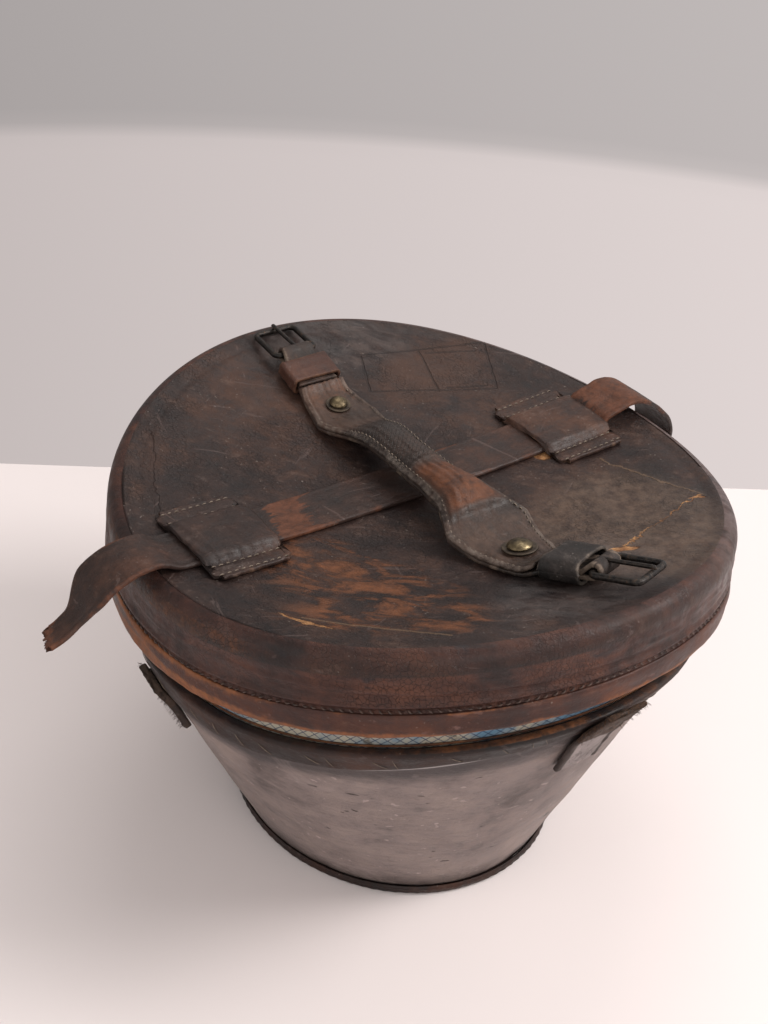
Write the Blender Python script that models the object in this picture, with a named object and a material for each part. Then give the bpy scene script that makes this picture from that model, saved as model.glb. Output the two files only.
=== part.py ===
"""A leather top-hat case: an oval tapered bucket with a check-cloth collar, and a lift-off saddle-shaped lid.

The lid carries a padded handle on two brass studs with a buckle at each end, and a cross strap through two loops.
Metres, +Z up. +X runs along the handle towards its front end, +Y along the cross strap towards its right end.
The origin is the centre of the base's underside.
"""

import math

import bpy
import numpy as np
from mathutils import Matrix, Vector

# Driving dimensions -----------------------------------------------------------------------------------------

SEGMENTS = 48  # facets round every oval piece
GAP = 0.0003  # between pieces that touch
REST_GAP = 0.0008  # between the lid's dished top and what lies on it

# Case: an oval cone from a flat base to a saddle-shaped mouth
BASE_A, BASE_B = 0.1008, 0.0909  # half length and half width of the base
MOUTH_A, MOUTH_B = 0.1645, 0.1528  # the same at the binding's lower edge
BAND_Z, BAND_SADDLE = 0.1474, 0.0188  # that edge's mean height, and how far it rises at the two ends
EDGE_Z, EDGE_SADDLE = 0.1600, 0.0156  # the same for the top edge of the wall
WALL = 0.0035
BASE_BOARD = 0.0040
WELT_OUT, WELT_HIGH = 0.0056, 0.0076
LINING = 0.0012
BASE_PAD = 0.0070
BINDING = 0.0015
BINDING_INSIDE = 0.0055  # how far the binding turns down inside the mouth
COLLAR_INSET = 0.0060  # from the wall's outer face to the collar cloth
COLLAR_FLARE = 0.0015
COLLAR_OVERLAP = 0.0150  # how far the collar reaches down inside the wall
COLLAR_BOARD, COLLAR_CLOTH = 0.0025, 0.0010
COLLAR_SEAT = 0.0006  # between the collar's top and the lid lining

# Lid: it sits a little forward and a little high at the front
LID_X, LID_Y = 0.0046, -0.0014
LID_TILT_X, LID_TILT_Y = 0.0385, 0.0160
LID_OVER_A, LID_OVER_B = 0.0155, 0.0170  # how far the lid stands out past the mouth
LID_A, LID_B = MOUTH_A + LID_OVER_A, MOUTH_B + LID_OVER_B
LID_EDGE_Z, LID_TOP_Z = 0.1827, 0.2282
LID_SADDLE, LID_DISH = 0.0131, 0.0175
LID_SHOULDER = 0.0108
LID_LEATHER = 0.0030
TOP_BOARD = 0.0025
SIDE_BOARD = 0.0020
RIM_BAND, RIM_BAND_HIGH = 0.0015, 0.0134
BURR = 0.0010

# Tabs on the case, the remains of its closing straps
TAB_WIDE = 0.028
TAB_THIN, TAB_THICK = 0.0030, 0.0055

# Cross strap
STRAP_SHIFT, STRAP_TURN = -0.0125, 0.053
STRAP_HALF, STRAP_THICK = 0.0165, 0.0028
LOOP_LONG, LOOP_WIDE, LOOP_LEATHER = 0.046, 0.069, 0.0024
LOOP_LEFT_AT, LOOP_RIGHT_AT = -0.1160, 0.1095
TUNNEL_CLEAR = 0.0018

# Handle
HANDLE_SHIFT, HANDLE_TURN = 0.0020, 0.030
HANDLE_LEATHER, GRIP_LEATHER = 0.0024, 0.0028
HANDLE_ARCH = 0.0135
ARCH_FLAT, ARCH_FOOT = 0.030, 0.084
CORE_HIGH, CORE_LONG, CORE_MARGIN = 0.0040, 0.046, 0.0040
GRIP_END = 0.1060
STUD_AT = 0.0886
END_TURN = {"rear": 0.0, "front": 0.36}  # how far each end of the handle has twisted to the left in plan
END_TURN_FROM, END_TURN_TO = 0.091, 0.107
STUD_HEAD, STUD_DOME, STUD_SHANK, SHANK_CLEAR = 0.0068, 0.0038, 0.0019, 0.0004
WASHER_OUT, WASHER_THICK = 0.0094, 0.0011

# Buckles
BUCKLE_AT, BUCKLE_LONG, BUCKLE_HALF = 0.1385, 0.0270, 0.0132
WIRE, EYE_CLEAR = 0.0018, 0.0006
BUCKLE_RAISED = {"rear": 0.0, "front": 1.0}  # 0: the outer bar lies on the lid, 1: level with the handle's end
TONGUE_WIRE, SLOT_HALF, SLOT_BACK = 0.0012, 0.0032, 0.0095
KEEPER_IN, KEEPER_OUT = 0.1125, 0.1305
KEEPER_LEATHER, KEEPER_CLEAR, KEEPER_HALF = 0.0018, 0.0010, 0.0140
TAIL_END = 0.1080

ANGLE = np.linspace(0, 2 * math.pi, SEGMENTS, endpoint=False)
COS, SIN = np.cos(ANGLE), np.sin(ANGLE)

# Scene, materials and solids --------------------------------------------------------------------------------

for old in list(bpy.data.objects):
    bpy.data.objects.remove(old)


def material(name, colour, roughness, metallic=0.0):
    made = bpy.data.materials.new(name)
    made.use_nodes = True
    shader = made.node_tree.nodes["Principled BSDF"]
    shader.inputs["Base Color"].default_value = (*colour, 1)
    shader.inputs["Roughness"].default_value = roughness
    shader.inputs["Metallic"].default_value = metallic
    made.diffuse_color = (*colour, 1)
    return made


CASE_LEATHER = material("case_leather", (0.16, 0.125, 0.105), 0.55)
LID_LEATHER_FINISH = material("lid_leather", (0.065, 0.045, 0.038), 0.5)
EDGE_LEATHER = material("edge_leather", (0.11, 0.045, 0.03), 0.5)
STRAP_LEATHER = material("strap_leather", (0.13, 0.05, 0.03), 0.5)
HANDLE_FINISH = material("handle_leather", (0.085, 0.045, 0.032), 0.45)
CHECK_CLOTH = material("check_cloth", (0.35, 0.4, 0.42), 0.9)
MILLBOARD = material("millboard", (0.3, 0.23, 0.15), 0.9)
IRON = material("iron", (0.03, 0.03, 0.03), 0.5, 0.9)
BRASS = material("brass", (0.3, 0.22, 0.09), 0.4, 1.0)


def solid(name, points, faces, finish, smooth=True):
    mesh = bpy.data.meshes.new(name)
    mesh.from_pydata(np.asarray(points).reshape(-1, 3).tolist(), [], faces)
    if smooth:
        mesh.shade_smooth()
        mesh.set_sharp_from_angle(angle=math.radians(35))
    made = bpy.data.objects.new(name, mesh)
    made.data.materials.append(finish)
    bpy.context.scene.collection.objects.link(made)
    return made


def grid_faces(rows, columns, wrap_rows, wrap_columns):
    """Quads of a grid whose point (i, j) has the index i * columns + j."""
    faces = []
    for i in range(rows if wrap_rows else rows - 1):
        for j in range(columns if wrap_columns else columns - 1):
            across, along = (j + 1) % columns, (i + 1) % rows
            faces.append((i * columns + j, i * columns + across, along * columns + across, along * columns + j))
    return faces


def hoop(name, rings, finish):
    """A closed hoop: each ring is a loop of points, and the last ring meets the first one again.

    Seen in section, the rings go down the outer side, inwards and up the inner side.
    """
    rings = np.array(rings)
    faces = grid_faces(len(rings), rings.shape[1], True, True)
    return solid(name, rings, [face[::-1] for face in faces], finish)


def bowl(name, rings, finish):
    """A closed solid whose first and last rings are closed by a middle point: a disc, a cup or a domed head.

    Seen in section, the rings go outwards over the top, down the outer side and back inwards.
    """
    rings = np.array(rings)
    columns = rings.shape[1]
    faces = [face[::-1] for face in grid_faces(len(rings), columns, False, True)]
    top, bottom = rings.shape[0] * columns, rings.shape[0] * columns + 1
    last = (rings.shape[0] - 1) * columns
    for j in range(columns):
        after = (j + 1) % columns
        faces.append((top, j, after))
        faces.append((bottom, last + after, last + j))
    points = np.concatenate([rings.reshape(-1, 3), rings[:1].mean(axis=1), rings[-1:].mean(axis=1)])
    return solid(name, points, faces, finish)


def slab(name, upper, lower, finish):
    """A sheet with a thickness: two grids of points, one over the other, and the walls between their edges."""
    rows, columns = upper.shape[:2]
    below = rows * columns
    faces = grid_faces(rows, columns, False, False)
    faces += [tuple(below + i for i in face[::-1]) for face in faces]
    for i in range(rows - 1):
        for j, turned in ((0, False), (columns - 1, True)):
            here, ahead = i * columns + j, (i + 1) * columns + j
            wall = (here, ahead, below + ahead, below + here)
            faces.append(wall[::-1] if turned else wall)
    for j in range(columns - 1):
        for i, turned in ((0, True), (rows - 1, False)):
            here, ahead = i * columns + j, i * columns + j + 1
            wall = (here, ahead, below + ahead, below + here)
            faces.append(wall[::-1] if turned else wall)
    return solid(name, np.concatenate([upper.reshape(-1, 3), lower.reshape(-1, 3)]), faces, finish)


def cut(piece, cutter):
    cutter.hide_render = True
    cutter.display_type = "WIRE"
    boolean = piece.modifiers.new("cut_" + cutter.name, "BOOLEAN")
    boolean.operation = "DIFFERENCE"
    boolean.solver = "EXACT"
    boolean.object = cutter


def smoothstep(low, high, value):
    share = np.clip((np.asarray(value, float) - low) / (high - low), 0, 1)
    return share * share * (3 - 2 * share)


# Case -------------------------------------------------------------------------------------------------------

EDGE_T = EDGE_Z / BAND_Z  # the wall's parameter: 0 at the base, 1 at the binding's lower edge


def wall_point(t, out, cosine, sine):
    """A point of the case's wall: half axes and mean height grow evenly with t, and so does the saddle up to t = 1."""
    saddle = BAND_SADDLE * t
    if t > 1:
        saddle = BAND_SADDLE + (EDGE_SADDLE - BAND_SADDLE) * (t - 1) / (EDGE_T - 1)
    half_a = BASE_A + (MOUTH_A - BASE_A) * t + out
    half_b = BASE_B + (MOUTH_B - BASE_B) * t + out
    return half_a * cosine, half_b * sine, BAND_Z * t + saddle * (cosine**2 - sine**2)


def wall_ring(t, out, up=0.0):
    x, y, z = wall_point(t, out, COS, SIN)
    return np.stack([x, y, z + up], 1)


def flat_ring(half_a, half_b, z):
    return np.stack([half_a * COS, half_b * SIN, np.full(SEGMENTS, z)], 1)


WALL_FOOT = (BASE_BOARD + 1.5 * GAP) / (BAND_Z - BAND_SADDLE)
LINING_TOP = 1 - (COLLAR_OVERLAP + 0.003) / BAND_Z + (EDGE_Z - BAND_Z) / BAND_Z
INSIDE_T = EDGE_T - BINDING_INSIDE / BAND_Z
wall_levels = (EDGE_T, INSIDE_T, 1.0, 0.66, 0.33, WALL_FOOT)

bowl(
    "base_board",
    [flat_ring(BASE_A * s, BASE_B * s, z) for s, z in ((0.5, BASE_BOARD), (1, BASE_BOARD), (1, 0), (0.5, 0))],
    CASE_LEATHER,
)
hoop(
    "body_wall",
    [wall_ring(t, 0) for t in wall_levels] + [wall_ring(t, -WALL) for t in wall_levels[::-1]],
    CASE_LEATHER,
)
lean = (MOUTH_A - BASE_A) / BAND_Z
welt_section = (
    (0.55 * WELT_OUT + lean * WELT_HIGH, WELT_HIGH),
    (WELT_OUT, 0.72 * WELT_HIGH),
    (WELT_OUT, 0.35 * WELT_HIGH),
    (0.65 * WELT_OUT, GAP),
    (GAP, GAP),
    (GAP, BASE_BOARD - GAP / 2),
    (lean * BASE_BOARD + 2.2 * GAP, BASE_BOARD),
    (lean * WELT_HIGH + 2 * GAP, WELT_HIGH),
)
hoop("base_welt", [flat_ring(BASE_A + out, BASE_B + out, z) for out, z in welt_section], EDGE_LEATHER)
lining_levels = (LINING_TOP, 0.66, 0.33, WALL_FOOT)
hoop(
    "body_lining",
    [wall_ring(t, -WALL - 2 * GAP) for t in lining_levels]
    + [wall_ring(t, -WALL - 2 * GAP - LINING) for t in lining_levels[::-1]],
    CHECK_CLOTH,
)
pad_inset = WALL + LINING + 5 * GAP
pad_low = BASE_BOARD + 2 * GAP
pad_section = (
    (0.45, 0, 1.0),
    (0.85, 0, 0.93),
    (1, 0, 0.6),
    (1, 0, 0.25),
    (0.96, 0, 0.0),
    (0.45, 0, 0.0),
)
bowl(
    "base_pad",
    [
        flat_ring((BASE_A - pad_inset) * s, (BASE_B - pad_inset) * s, pad_low + BASE_PAD * high)
        for s, _, high in pad_section
    ],
    CHECK_CLOTH,
)
leg = WALL + GAP
hoop(
    "body_binding",
    [
        wall_ring(EDGE_T, GAP + BINDING, GAP),
        wall_ring(1.0, GAP + BINDING),
        wall_ring(1.0, GAP),
        wall_ring(INSIDE_T, GAP),
        wall_ring(EDGE_T, GAP, GAP),
        wall_ring(EDGE_T, -leg, GAP),
        wall_ring(INSIDE_T, -leg),
        wall_ring(INSIDE_T, -leg - 0.8 * BINDING),
        wall_ring(EDGE_T, -leg - 0.8 * BINDING, GAP + 0.6 * BINDING),
        wall_ring(EDGE_T, -0.5 * WALL, GAP + BINDING),
    ],
    EDGE_LEATHER,
)

SEAM_ANGLE, SEAM_HALF, SEAM_THICK = 2.40, 0.013, 0.0016


def wall_strip(name, angle, half_width, t_low, t_high, thickness, clear, finish, rows=7, columns=5):
    """A flat strip that lies up the outside of the wall. clear gives its gap to the wall at a level t."""
    levels = np.linspace(t_low, t_high, rows)
    upper, lower = np.zeros((rows, columns, 3)), np.zeros((rows, columns, 3))
    for i, t in enumerate(levels):
        turn = np.linspace(-half_width, half_width, columns) / MOUTH_A
        cosine, sine = np.cos(angle + turn), np.sin(angle + turn)
        for grid, out in ((upper, clear(t) + thickness), (lower, clear(t))):
            grid[i] = np.stack(wall_point(t, out, cosine, sine), 1)
    return slab(name, upper, lower, finish)


def over_binding(t):
    """Flat on the wall, and out over the binding near the mouth."""
    return 2 * GAP + (BINDING + 2 * GAP) * smoothstep(0.92, 0.99, t)


wall_strip("body_seam_strip", SEAM_ANGLE, SEAM_HALF, 0.07, 0.97, SEAM_THICK, lambda t: 2 * GAP, CASE_LEATHER)
for name, angle, low, high, thickness in (
    ("front_tab", 0.055, 0.79, 1.20, TAB_THIN),
    ("rear_tab", math.pi - 0.02, 0.79, 1.05, TAB_THIN),
    ("left_tab", -math.pi / 2 - 0.055, 0.70, 1.09, TAB_THICK),
    ("right_tab", math.pi / 2 + 0.13, 0.72, 1.05, TAB_THICK),
):
    wall_strip(name, angle, TAB_WIDE / 2, low, high, thickness, over_binding, STRAP_LEATHER)

# Lid --------------------------------------------------------------------------------------------------------

DISH_REACH = 1 - LID_SHOULDER / LID_A  # the dish ends where the shoulder begins
TOP_REACHES = (0.08, 0.24, 0.42, 0.60, 0.75, 0.88)


def lid_lift(x, y):
    """How far the saddle and the tilt raise the lid at a point of its plan."""
    u, v = (x - LID_X) / LID_A, (y - LID_Y) / LID_B
    return LID_SADDLE * (u * u - v * v) + LID_TILT_X * (x - LID_X) + LID_TILT_Y * (y - LID_Y)


def lid_height(x, y):
    """The lid's top: a shallow dish inside the shoulder, on the saddle."""
    reach = ((x - LID_X) / LID_A) ** 2 + ((y - LID_Y) / LID_B) ** 2
    return LID_TOP_Z - LID_DISH * np.clip(1 - reach / DISH_REACH**2, 0, None) + lid_lift(x, y)


def lid_ring(inset, z):
    x, y = LID_X + (LID_A - inset) * COS, LID_Y + (LID_B - inset) * SIN
    return np.stack([x, y, z + lid_lift(x, y)], 1)


def top_ring(reach, drop):
    x, y = LID_X + LID_A * reach * COS, LID_Y + LID_B * reach * SIN
    return np.stack([x, y, lid_height(x, y) - drop], 1)


def lid_cup(name, inset, drop, radius, thickness, low_z, reaches, finish):
    """A cup that follows the lid: its dished top, a round shoulder and its side, with one thickness."""

    def skin(inset, drop, radius):
        rings = [top_ring(reach, drop) for reach in reaches]
        for angle in np.radians((75, 50, 25, 0)):
            across, down = radius * (1 - math.cos(angle)), radius * (1 - math.sin(angle))
            rings.append(lid_ring(inset + across, LID_TOP_Z - drop - down))
        return rings + [lid_ring(inset, low_z)]

    outer = skin(inset, drop, radius)
    inner = skin(inset + thickness, drop + thickness, radius - thickness)
    return bowl(name, outer + inner[::-1], finish)


RIM_INSET = RIM_BAND + GAP
lid_shell = lid_cup(
    "lid_shell", RIM_INSET, 0.0, LID_SHOULDER, LID_LEATHER, LID_EDGE_Z, TOP_REACHES, LID_LEATHER_FINISH
)
band_top = LID_EDGE_Z + RIM_BAND_HIGH
hoop(
    "lid_rim_band",
    [
        lid_ring(0.35 * RIM_BAND, band_top),
        lid_ring(0, band_top - 0.5 * RIM_BAND),
        lid_ring(0, LID_EDGE_Z),
        lid_ring(0.6 * RIM_BAND, LID_EDGE_Z - RIM_BAND),
        lid_ring(RIM_INSET + LID_LEATHER, LID_EDGE_Z - RIM_BAND),
        lid_ring(RIM_INSET + LID_LEATHER, LID_EDGE_Z - GAP),
        lid_ring(RIM_BAND, LID_EDGE_Z - GAP),
        lid_ring(RIM_BAND, band_top),
    ],
    EDGE_LEATHER,
)
board_drop = LID_LEATHER + GAP
top_board = bowl(
    "lid_top_board",
    [top_ring(reach, board_drop) for reach in TOP_REACHES]
    + [top_ring(reach, board_drop + TOP_BOARD) for reach in TOP_REACHES[::-1]],
    MILLBOARD,
)
side_inset = RIM_INSET + LID_LEATHER + GAP
side_low, side_high = LID_EDGE_Z + 0.0015, LID_TOP_Z - LID_SHOULDER - 0.002
hoop(
    "lid_side_board",
    [
        lid_ring(side_inset, side_high),
        lid_ring(side_inset, side_low),
        lid_ring(side_inset + SIDE_BOARD, side_low),
        lid_ring(side_inset + SIDE_BOARD, side_high),
    ],
    MILLBOARD,
)
lining_drop = board_drop + TOP_BOARD + BURR + 5 * GAP
lid_cup(
    "lid_lining",
    side_inset + SIDE_BOARD + GAP,
    lining_drop,
    0.004,
    LINING,
    side_low,
    TOP_REACHES[1::2],
    CHECK_CLOTH,
)

# Collar: a cloth-covered board ring inside the mouth, on which the lid rests

CEILING = lining_drop + LINING
collar_low = EDGE_T - COLLAR_OVERLAP / BAND_Z


def collar_top(inset, below):
    ring = wall_ring(EDGE_T, COLLAR_FLARE - inset)
    ring[:, 2] = lid_height(ring[:, 0], ring[:, 1]) - CEILING - COLLAR_SEAT - below
    return ring


board_in = COLLAR_INSET + COLLAR_CLOTH + GAP
hoop(
    "collar_board",
    [
        collar_top(board_in, COLLAR_CLOTH + GAP),
        wall_ring(EDGE_T, -board_in),
        wall_ring(collar_low, -board_in),
        wall_ring(collar_low, -board_in - COLLAR_BOARD),
        wall_ring(EDGE_T, -board_in - COLLAR_BOARD),
        collar_top(board_in + COLLAR_BOARD, COLLAR_CLOTH + GAP),
    ],
    MILLBOARD,
)
cloth_in = board_in + COLLAR_BOARD + GAP
hoop(
    "collar_cloth",
    [
        collar_top(COLLAR_INSET, 0),
        wall_ring(EDGE_T, -COLLAR_INSET),
        wall_ring(collar_low, -COLLAR_INSET),
        wall_ring(collar_low, -COLLAR_INSET - COLLAR_CLOTH),
        wall_ring(EDGE_T, -COLLAR_INSET - COLLAR_CLOTH),
        collar_top(COLLAR_INSET + COLLAR_CLOTH, COLLAR_CLOTH),
        collar_top(cloth_in, COLLAR_CLOTH),
        wall_ring(EDGE_T, -cloth_in),
        wall_ring(collar_low, -cloth_in),
        wall_ring(collar_low, -cloth_in - COLLAR_CLOTH),
        wall_ring(EDGE_T, -cloth_in - COLLAR_CLOTH),
        collar_top(cloth_in + COLLAR_CLOTH, 0),
    ],
    CHECK_CLOTH,
)

# Strips on the lid ------------------------------------------------------------------------------------------


class Line:
    """A line across the lid's plan: s runs along it and t to its left. It is straight, but its ends may turn."""

    def __init__(self, turn, shift, rear_turn=0.0, front_turn=0.0, has_buckles=False):
        self.has_buckles = has_buckles
        self.s = np.linspace(-0.24, 0.24, 961)
        bent = smoothstep(END_TURN_FROM, END_TURN_TO, np.abs(self.s))
        self.angle = turn + bent * np.where(self.s < 0, rear_turn, front_turn)
        half = len(self.s) // 2
        step = self.s[1] - self.s[0]
        route = []
        for direction in (np.cos(self.angle), np.sin(self.angle)):
            summed = np.concatenate([[0], np.cumsum((direction[1:] + direction[:-1]) * step / 2)])
            route.append(summed - summed[half])
        self.x = LID_X - shift * math.sin(turn) + route[0]
        self.y = LID_Y + shift * math.cos(turn) + route[1]

    def plan(self, s, t):
        s, t = np.broadcast_arrays(np.asarray(s, float), np.asarray(t, float))
        angle = np.interp(s, self.s, self.angle)
        return np.interp(s, self.s, self.x) - t * np.sin(angle), np.interp(s, self.s, self.y) + t * np.cos(angle)

    def over_lid(self, s, t, height):
        x, y = self.plan(s, t)
        return np.stack([x, y, lid_height(x, y) + height], -1)

    def lean(self, s):
        """The lid's slope across the line."""
        reach = 0.01
        left, right = (lid_height(*self.plan(s, t)) for t in (reach, -reach))
        return (left - right) / (2 * reach)

    def on_path(self, s, t, z):
        """z is the height at t = 0, and the line across leans with the lid. Past a turned end the lean is its buckle's."""
        s, t = np.broadcast_arrays(np.asarray(s, float), np.asarray(t, float))
        past = smoothstep(END_TURN_FROM, END_TURN_TO, np.abs(s)) * self.has_buckles
        lean = (1 - past) * self.lean(s) + past * self.lean(np.sign(s) * BUCKLE_AT)
        x, y = self.plan(s, t)
        return np.stack([x, y, z + lean * t], -1)


HANDLE = Line(HANDLE_TURN, HANDLE_SHIFT, END_TURN["rear"], END_TURN["front"], has_buckles=True)
STRAP = Line(math.pi / 2 + STRAP_TURN, -STRAP_SHIFT)


def normals(s, z):
    """Unit normals of a path in its own upright plane, to its upper side where s grows."""
    ds, dz = np.gradient(s), np.gradient(z)
    length = np.hypot(ds, dz)
    return -dz / length, ds / length


def strap_sides(place, s, z, low, high, thickness, columns=3):
    """The two sides of a strap of one thickness along a path (s, z), from t = low to t = high at each point."""
    t = low[:, None] + (high - low)[:, None] * np.linspace(0, 1, columns)
    normal_s, normal_z = normals(s, z)
    sides = []
    for share in (0.5, -0.5):
        at_s, at_z = s + share * thickness * normal_s, z + share * thickness * normal_z
        sides.append(place(at_s[:, None], t, at_z[:, None]))
    return sides


# Cross strap: flat under the handle and through the loops, with a torn left end and a curled right end

strap_rest = REST_GAP + STRAP_THICK / 2
on_lid = np.linspace(-0.146, 0.132, 21)
on_lid_z = STRAP.over_lid(on_lid, 0.0, strap_rest)[:, 2]
torn_end = np.array(
    [(-0.2225, 0.1862), (-0.2110, 0.1905), (-0.2020, 0.1972), (-0.1955, 0.2052), (-0.1880, 0.2130),
     (-0.1780, 0.2182), (-0.1680, 0.2206), (-0.1580, 0.2202)]
)
curled_end = np.array(
    [(0.1420, 0.2262), (0.1520, 0.2288), (0.1620, 0.2272), (0.1720, 0.2215), (0.1810, 0.2140),
     (0.1875, 0.2060), (0.1905, 0.1975), (0.1890, 0.1895)]
)
strap_s = np.concatenate([torn_end[:, 0], on_lid, curled_end[:, 0]])
strap_z = np.concatenate([torn_end[:, 1], on_lid_z, curled_end[:, 1]])
torn = smoothstep(-0.190, -0.204, strap_s)
strap_low, strap_high = -STRAP_HALF + 0.0060 * torn, STRAP_HALF - 0.0110 * torn
strap_sheet = strap_sides(STRAP.on_path, strap_s, strap_z, strap_low, strap_high, STRAP_THICK)
slab("cross_strap", strap_sheet[0][:, ::-1], strap_sheet[1][:, ::-1], STRAP_LEATHER)


def strap_loop(name, centre):
    """A patch sewn down along both sides of the strap, and raised between them into a tunnel."""
    s = np.linspace(centre - LOOP_LONG / 2, centre + LOOP_LONG / 2, 7)[:, None]
    tunnel = STRAP_HALF + TUNNEL_CLEAR
    foot = tunnel + 0.0035
    t = np.array([-LOOP_WIDE / 2, -0.5 * (LOOP_WIDE / 2 + foot), -foot, -tunnel, -0.5 * tunnel, 0.0])
    t = np.concatenate([t, -t[-2::-1]])[None]
    height = STRAP_THICK + TUNNEL_CLEAR - GAP
    raised = REST_GAP + height * smoothstep(foot, tunnel, np.abs(t)) + 0 * s
    upper = STRAP.over_lid(s, t, raised + LOOP_LEATHER)
    lower = STRAP.over_lid(s, t, raised)
    return slab(name, upper[:, ::-1], lower[:, ::-1], LID_LEATHER_FINISH)


strap_loop("loop_left", LOOP_LEFT_AT)
strap_loop("loop_right", LOOP_RIGHT_AT)

# Handle -----------------------------------------------------------------------------------------------------

OUTLINE_AT = (-0.1400, -0.1330, -0.1160, -0.0780, -0.0550, -0.0200, 0.0150, 0.0380, 0.0600, 0.1160, 0.1330, 0.1400)
OUTLINE_HALF = (0.0098, 0.0105, 0.0122, 0.0200, 0.0150, 0.0135, 0.0142, 0.0175, 0.0260, 0.0122, 0.0105, 0.0098)


def half_width(s):
    return np.interp(s, OUTLINE_AT, OUTLINE_HALF)


def arch(s):
    """Height of the handle's underside over the lid: it lies flat at the studs and arches between them."""
    return REST_GAP + HANDLE_ARCH * smoothstep(ARCH_FOOT, ARCH_FLAT, np.abs(s))


class EndFrame:
    """The flat frame of one end of the handle: x outwards along the lid, y across, z away from the lid.

    It starts under the buckle's hinge bar, on the chord that keeps it clear of the dished lid.
    """

    def __init__(self, side):
        low, high = HANDLE.over_lid(np.array([side * TAIL_END, side * (BUCKLE_AT + BUCKLE_LONG)]), 0.0, REST_GAP)
        share = (BUCKLE_AT - TAIL_END) / (BUCKLE_AT + BUCKLE_LONG - TAIL_END)
        out = Vector(high - low).normalized()
        left, right = HANDLE.over_lid(np.full(2, side * BUCKLE_AT), np.array([-0.01, 0.01]) * side, 0.0)
        across = Vector(right - left)
        across = (across - across.dot(out) * out).normalized()
        up = out.cross(across)
        self.side = side
        self.low = low
        self.matrix = Matrix((out, across, up)).transposed().to_4x4()
        self.matrix.translation = Vector(low + share * (high - low))

    def place(self, points):
        """World points of an array of points given in this frame."""
        turned = np.array(self.matrix)
        return np.asarray(points) @ turned[:3, :3].T + turned[:3, 3]

    def on_path(self, out, t, up):
        """World points at t to the handle's left, as Line.on_path gives them."""
        out, t, up = np.broadcast_arrays(out, t * self.side, up)
        return self.place(np.stack([out, t, up], -1))


ENDS = {"rear": EndFrame(-1), "front": EndFrame(1)}
under_keeper = KEEPER_LEATHER + KEEPER_CLEAR / 2
tail_up = under_keeper + HANDLE_LEATHER / 2
eye = WIRE + EYE_CLEAR + HANDLE_LEATHER / 2  # radius of the fold's middle line round the hinge bar
BAR_UP = tail_up + eye
upper_layer_up = tail_up + HANDLE_LEATHER + GAP
fold = np.radians(np.linspace(-90, 115, 9))
in_keeper = np.array([KEEPER_IN - 0.0015, KEEPER_OUT + 0.001]) - BUCKLE_AT
end_out = np.concatenate([[TAIL_END - BUCKLE_AT], in_keeper, eye * np.cos(fold), in_keeper[::-1]])
end_up = np.concatenate([[tail_up] * 3, BAR_UP + eye * np.sin(fold), [upper_layer_up] * 2])

main_s = np.linspace(-GRIP_END + 0.004, GRIP_END - 0.004, 35)
main_z = HANDLE.over_lid(main_s, 0.0, arch(main_s) + HANDLE_LEATHER / 2)[:, 2]
main_half = half_width(main_s)
handle_sheet = strap_sides(HANDLE.on_path, main_s, main_z, -main_half, main_half, HANDLE_LEATHER)
end_sheets = {}
for end, frame in ENDS.items():
    end_half = half_width(frame.side * (BUCKLE_AT + end_out))
    end_sheets[end] = strap_sides(frame.on_path, end_out, end_up, -end_half, end_half, HANDLE_LEATHER)
handle_sheet = [
    np.concatenate([rear[::-1], main, front])
    for rear, main, front in zip(end_sheets["rear"], handle_sheet, end_sheets["front"])
]
handle_strap = slab("handle_strap", handle_sheet[0][:, ::-1], handle_sheet[1][:, ::-1], HANDLE_FINISH)

grip_s = np.linspace(-GRIP_END, GRIP_END, 39)[:, None]
spread = np.linspace(-1, 1, 9)[None]
grip_t = half_width(grip_s) * spread
over_strap = arch(grip_s) + HANDLE_LEATHER + GAP + 0 * spread
over_strap += 2 * GAP * smoothstep(STUD_AT + WASHER_OUT, GRIP_END, np.abs(grip_s))
over_strap += (KEEPER_LEATHER + 2 * HANDLE_LEATHER) * smoothstep(GRIP_END - 0.006, GRIP_END + 0.006, np.abs(grip_s))
crown = (1 - spread**2) * smoothstep(CORE_LONG + 0.016, CORE_LONG - 0.008, np.abs(grip_s))
grip_low = over_strap + (CORE_HIGH + 4 * GAP) * crown
grip_edge = 1 - 0.35 * smoothstep(0.75, 1, np.abs(spread))
handle_grip = slab(
    "handle_grip",
    HANDLE.over_lid(grip_s, grip_t, grip_low + GRIP_LEATHER * grip_edge)[:, ::-1],
    HANDLE.over_lid(grip_s, grip_t, grip_low)[:, ::-1],
    HANDLE_FINISH,
)
core_s = np.linspace(-CORE_LONG, CORE_LONG, 15)[:, None]
core_spread = np.linspace(-1, 1, 5)[None]
core_t = (half_width(core_s).clip(max=0.0165) - CORE_MARGIN) * core_spread
core_low = arch(core_s) + HANDLE_LEATHER + GAP + 0 * core_spread
core_end = smoothstep(CORE_LONG, CORE_LONG - 0.016, np.abs(core_s))
core_high = core_low + 2 * GAP + (CORE_HIGH - 2 * GAP) * (1 - core_spread**2) * core_end
slab(
    "handle_core",
    HANDLE.over_lid(core_s, core_t, core_high)[:, ::-1],
    HANDLE.over_lid(core_s, core_t, core_low)[:, ::-1],
    MILLBOARD,
)


def turned(name, place, section, finish, sides=16, pierced=False):
    """A solid turned round the local z axis from (radius, height) pairs, top to bottom on its outer side."""
    angle = np.linspace(0, 2 * math.pi, sides, endpoint=False)
    rings = [place(np.stack([r * np.cos(angle), r * np.sin(angle), np.full(sides, h)], 1)) for r, h in section]
    return hoop(name, rings, finish) if pierced else bowl(name, rings, finish)


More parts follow.
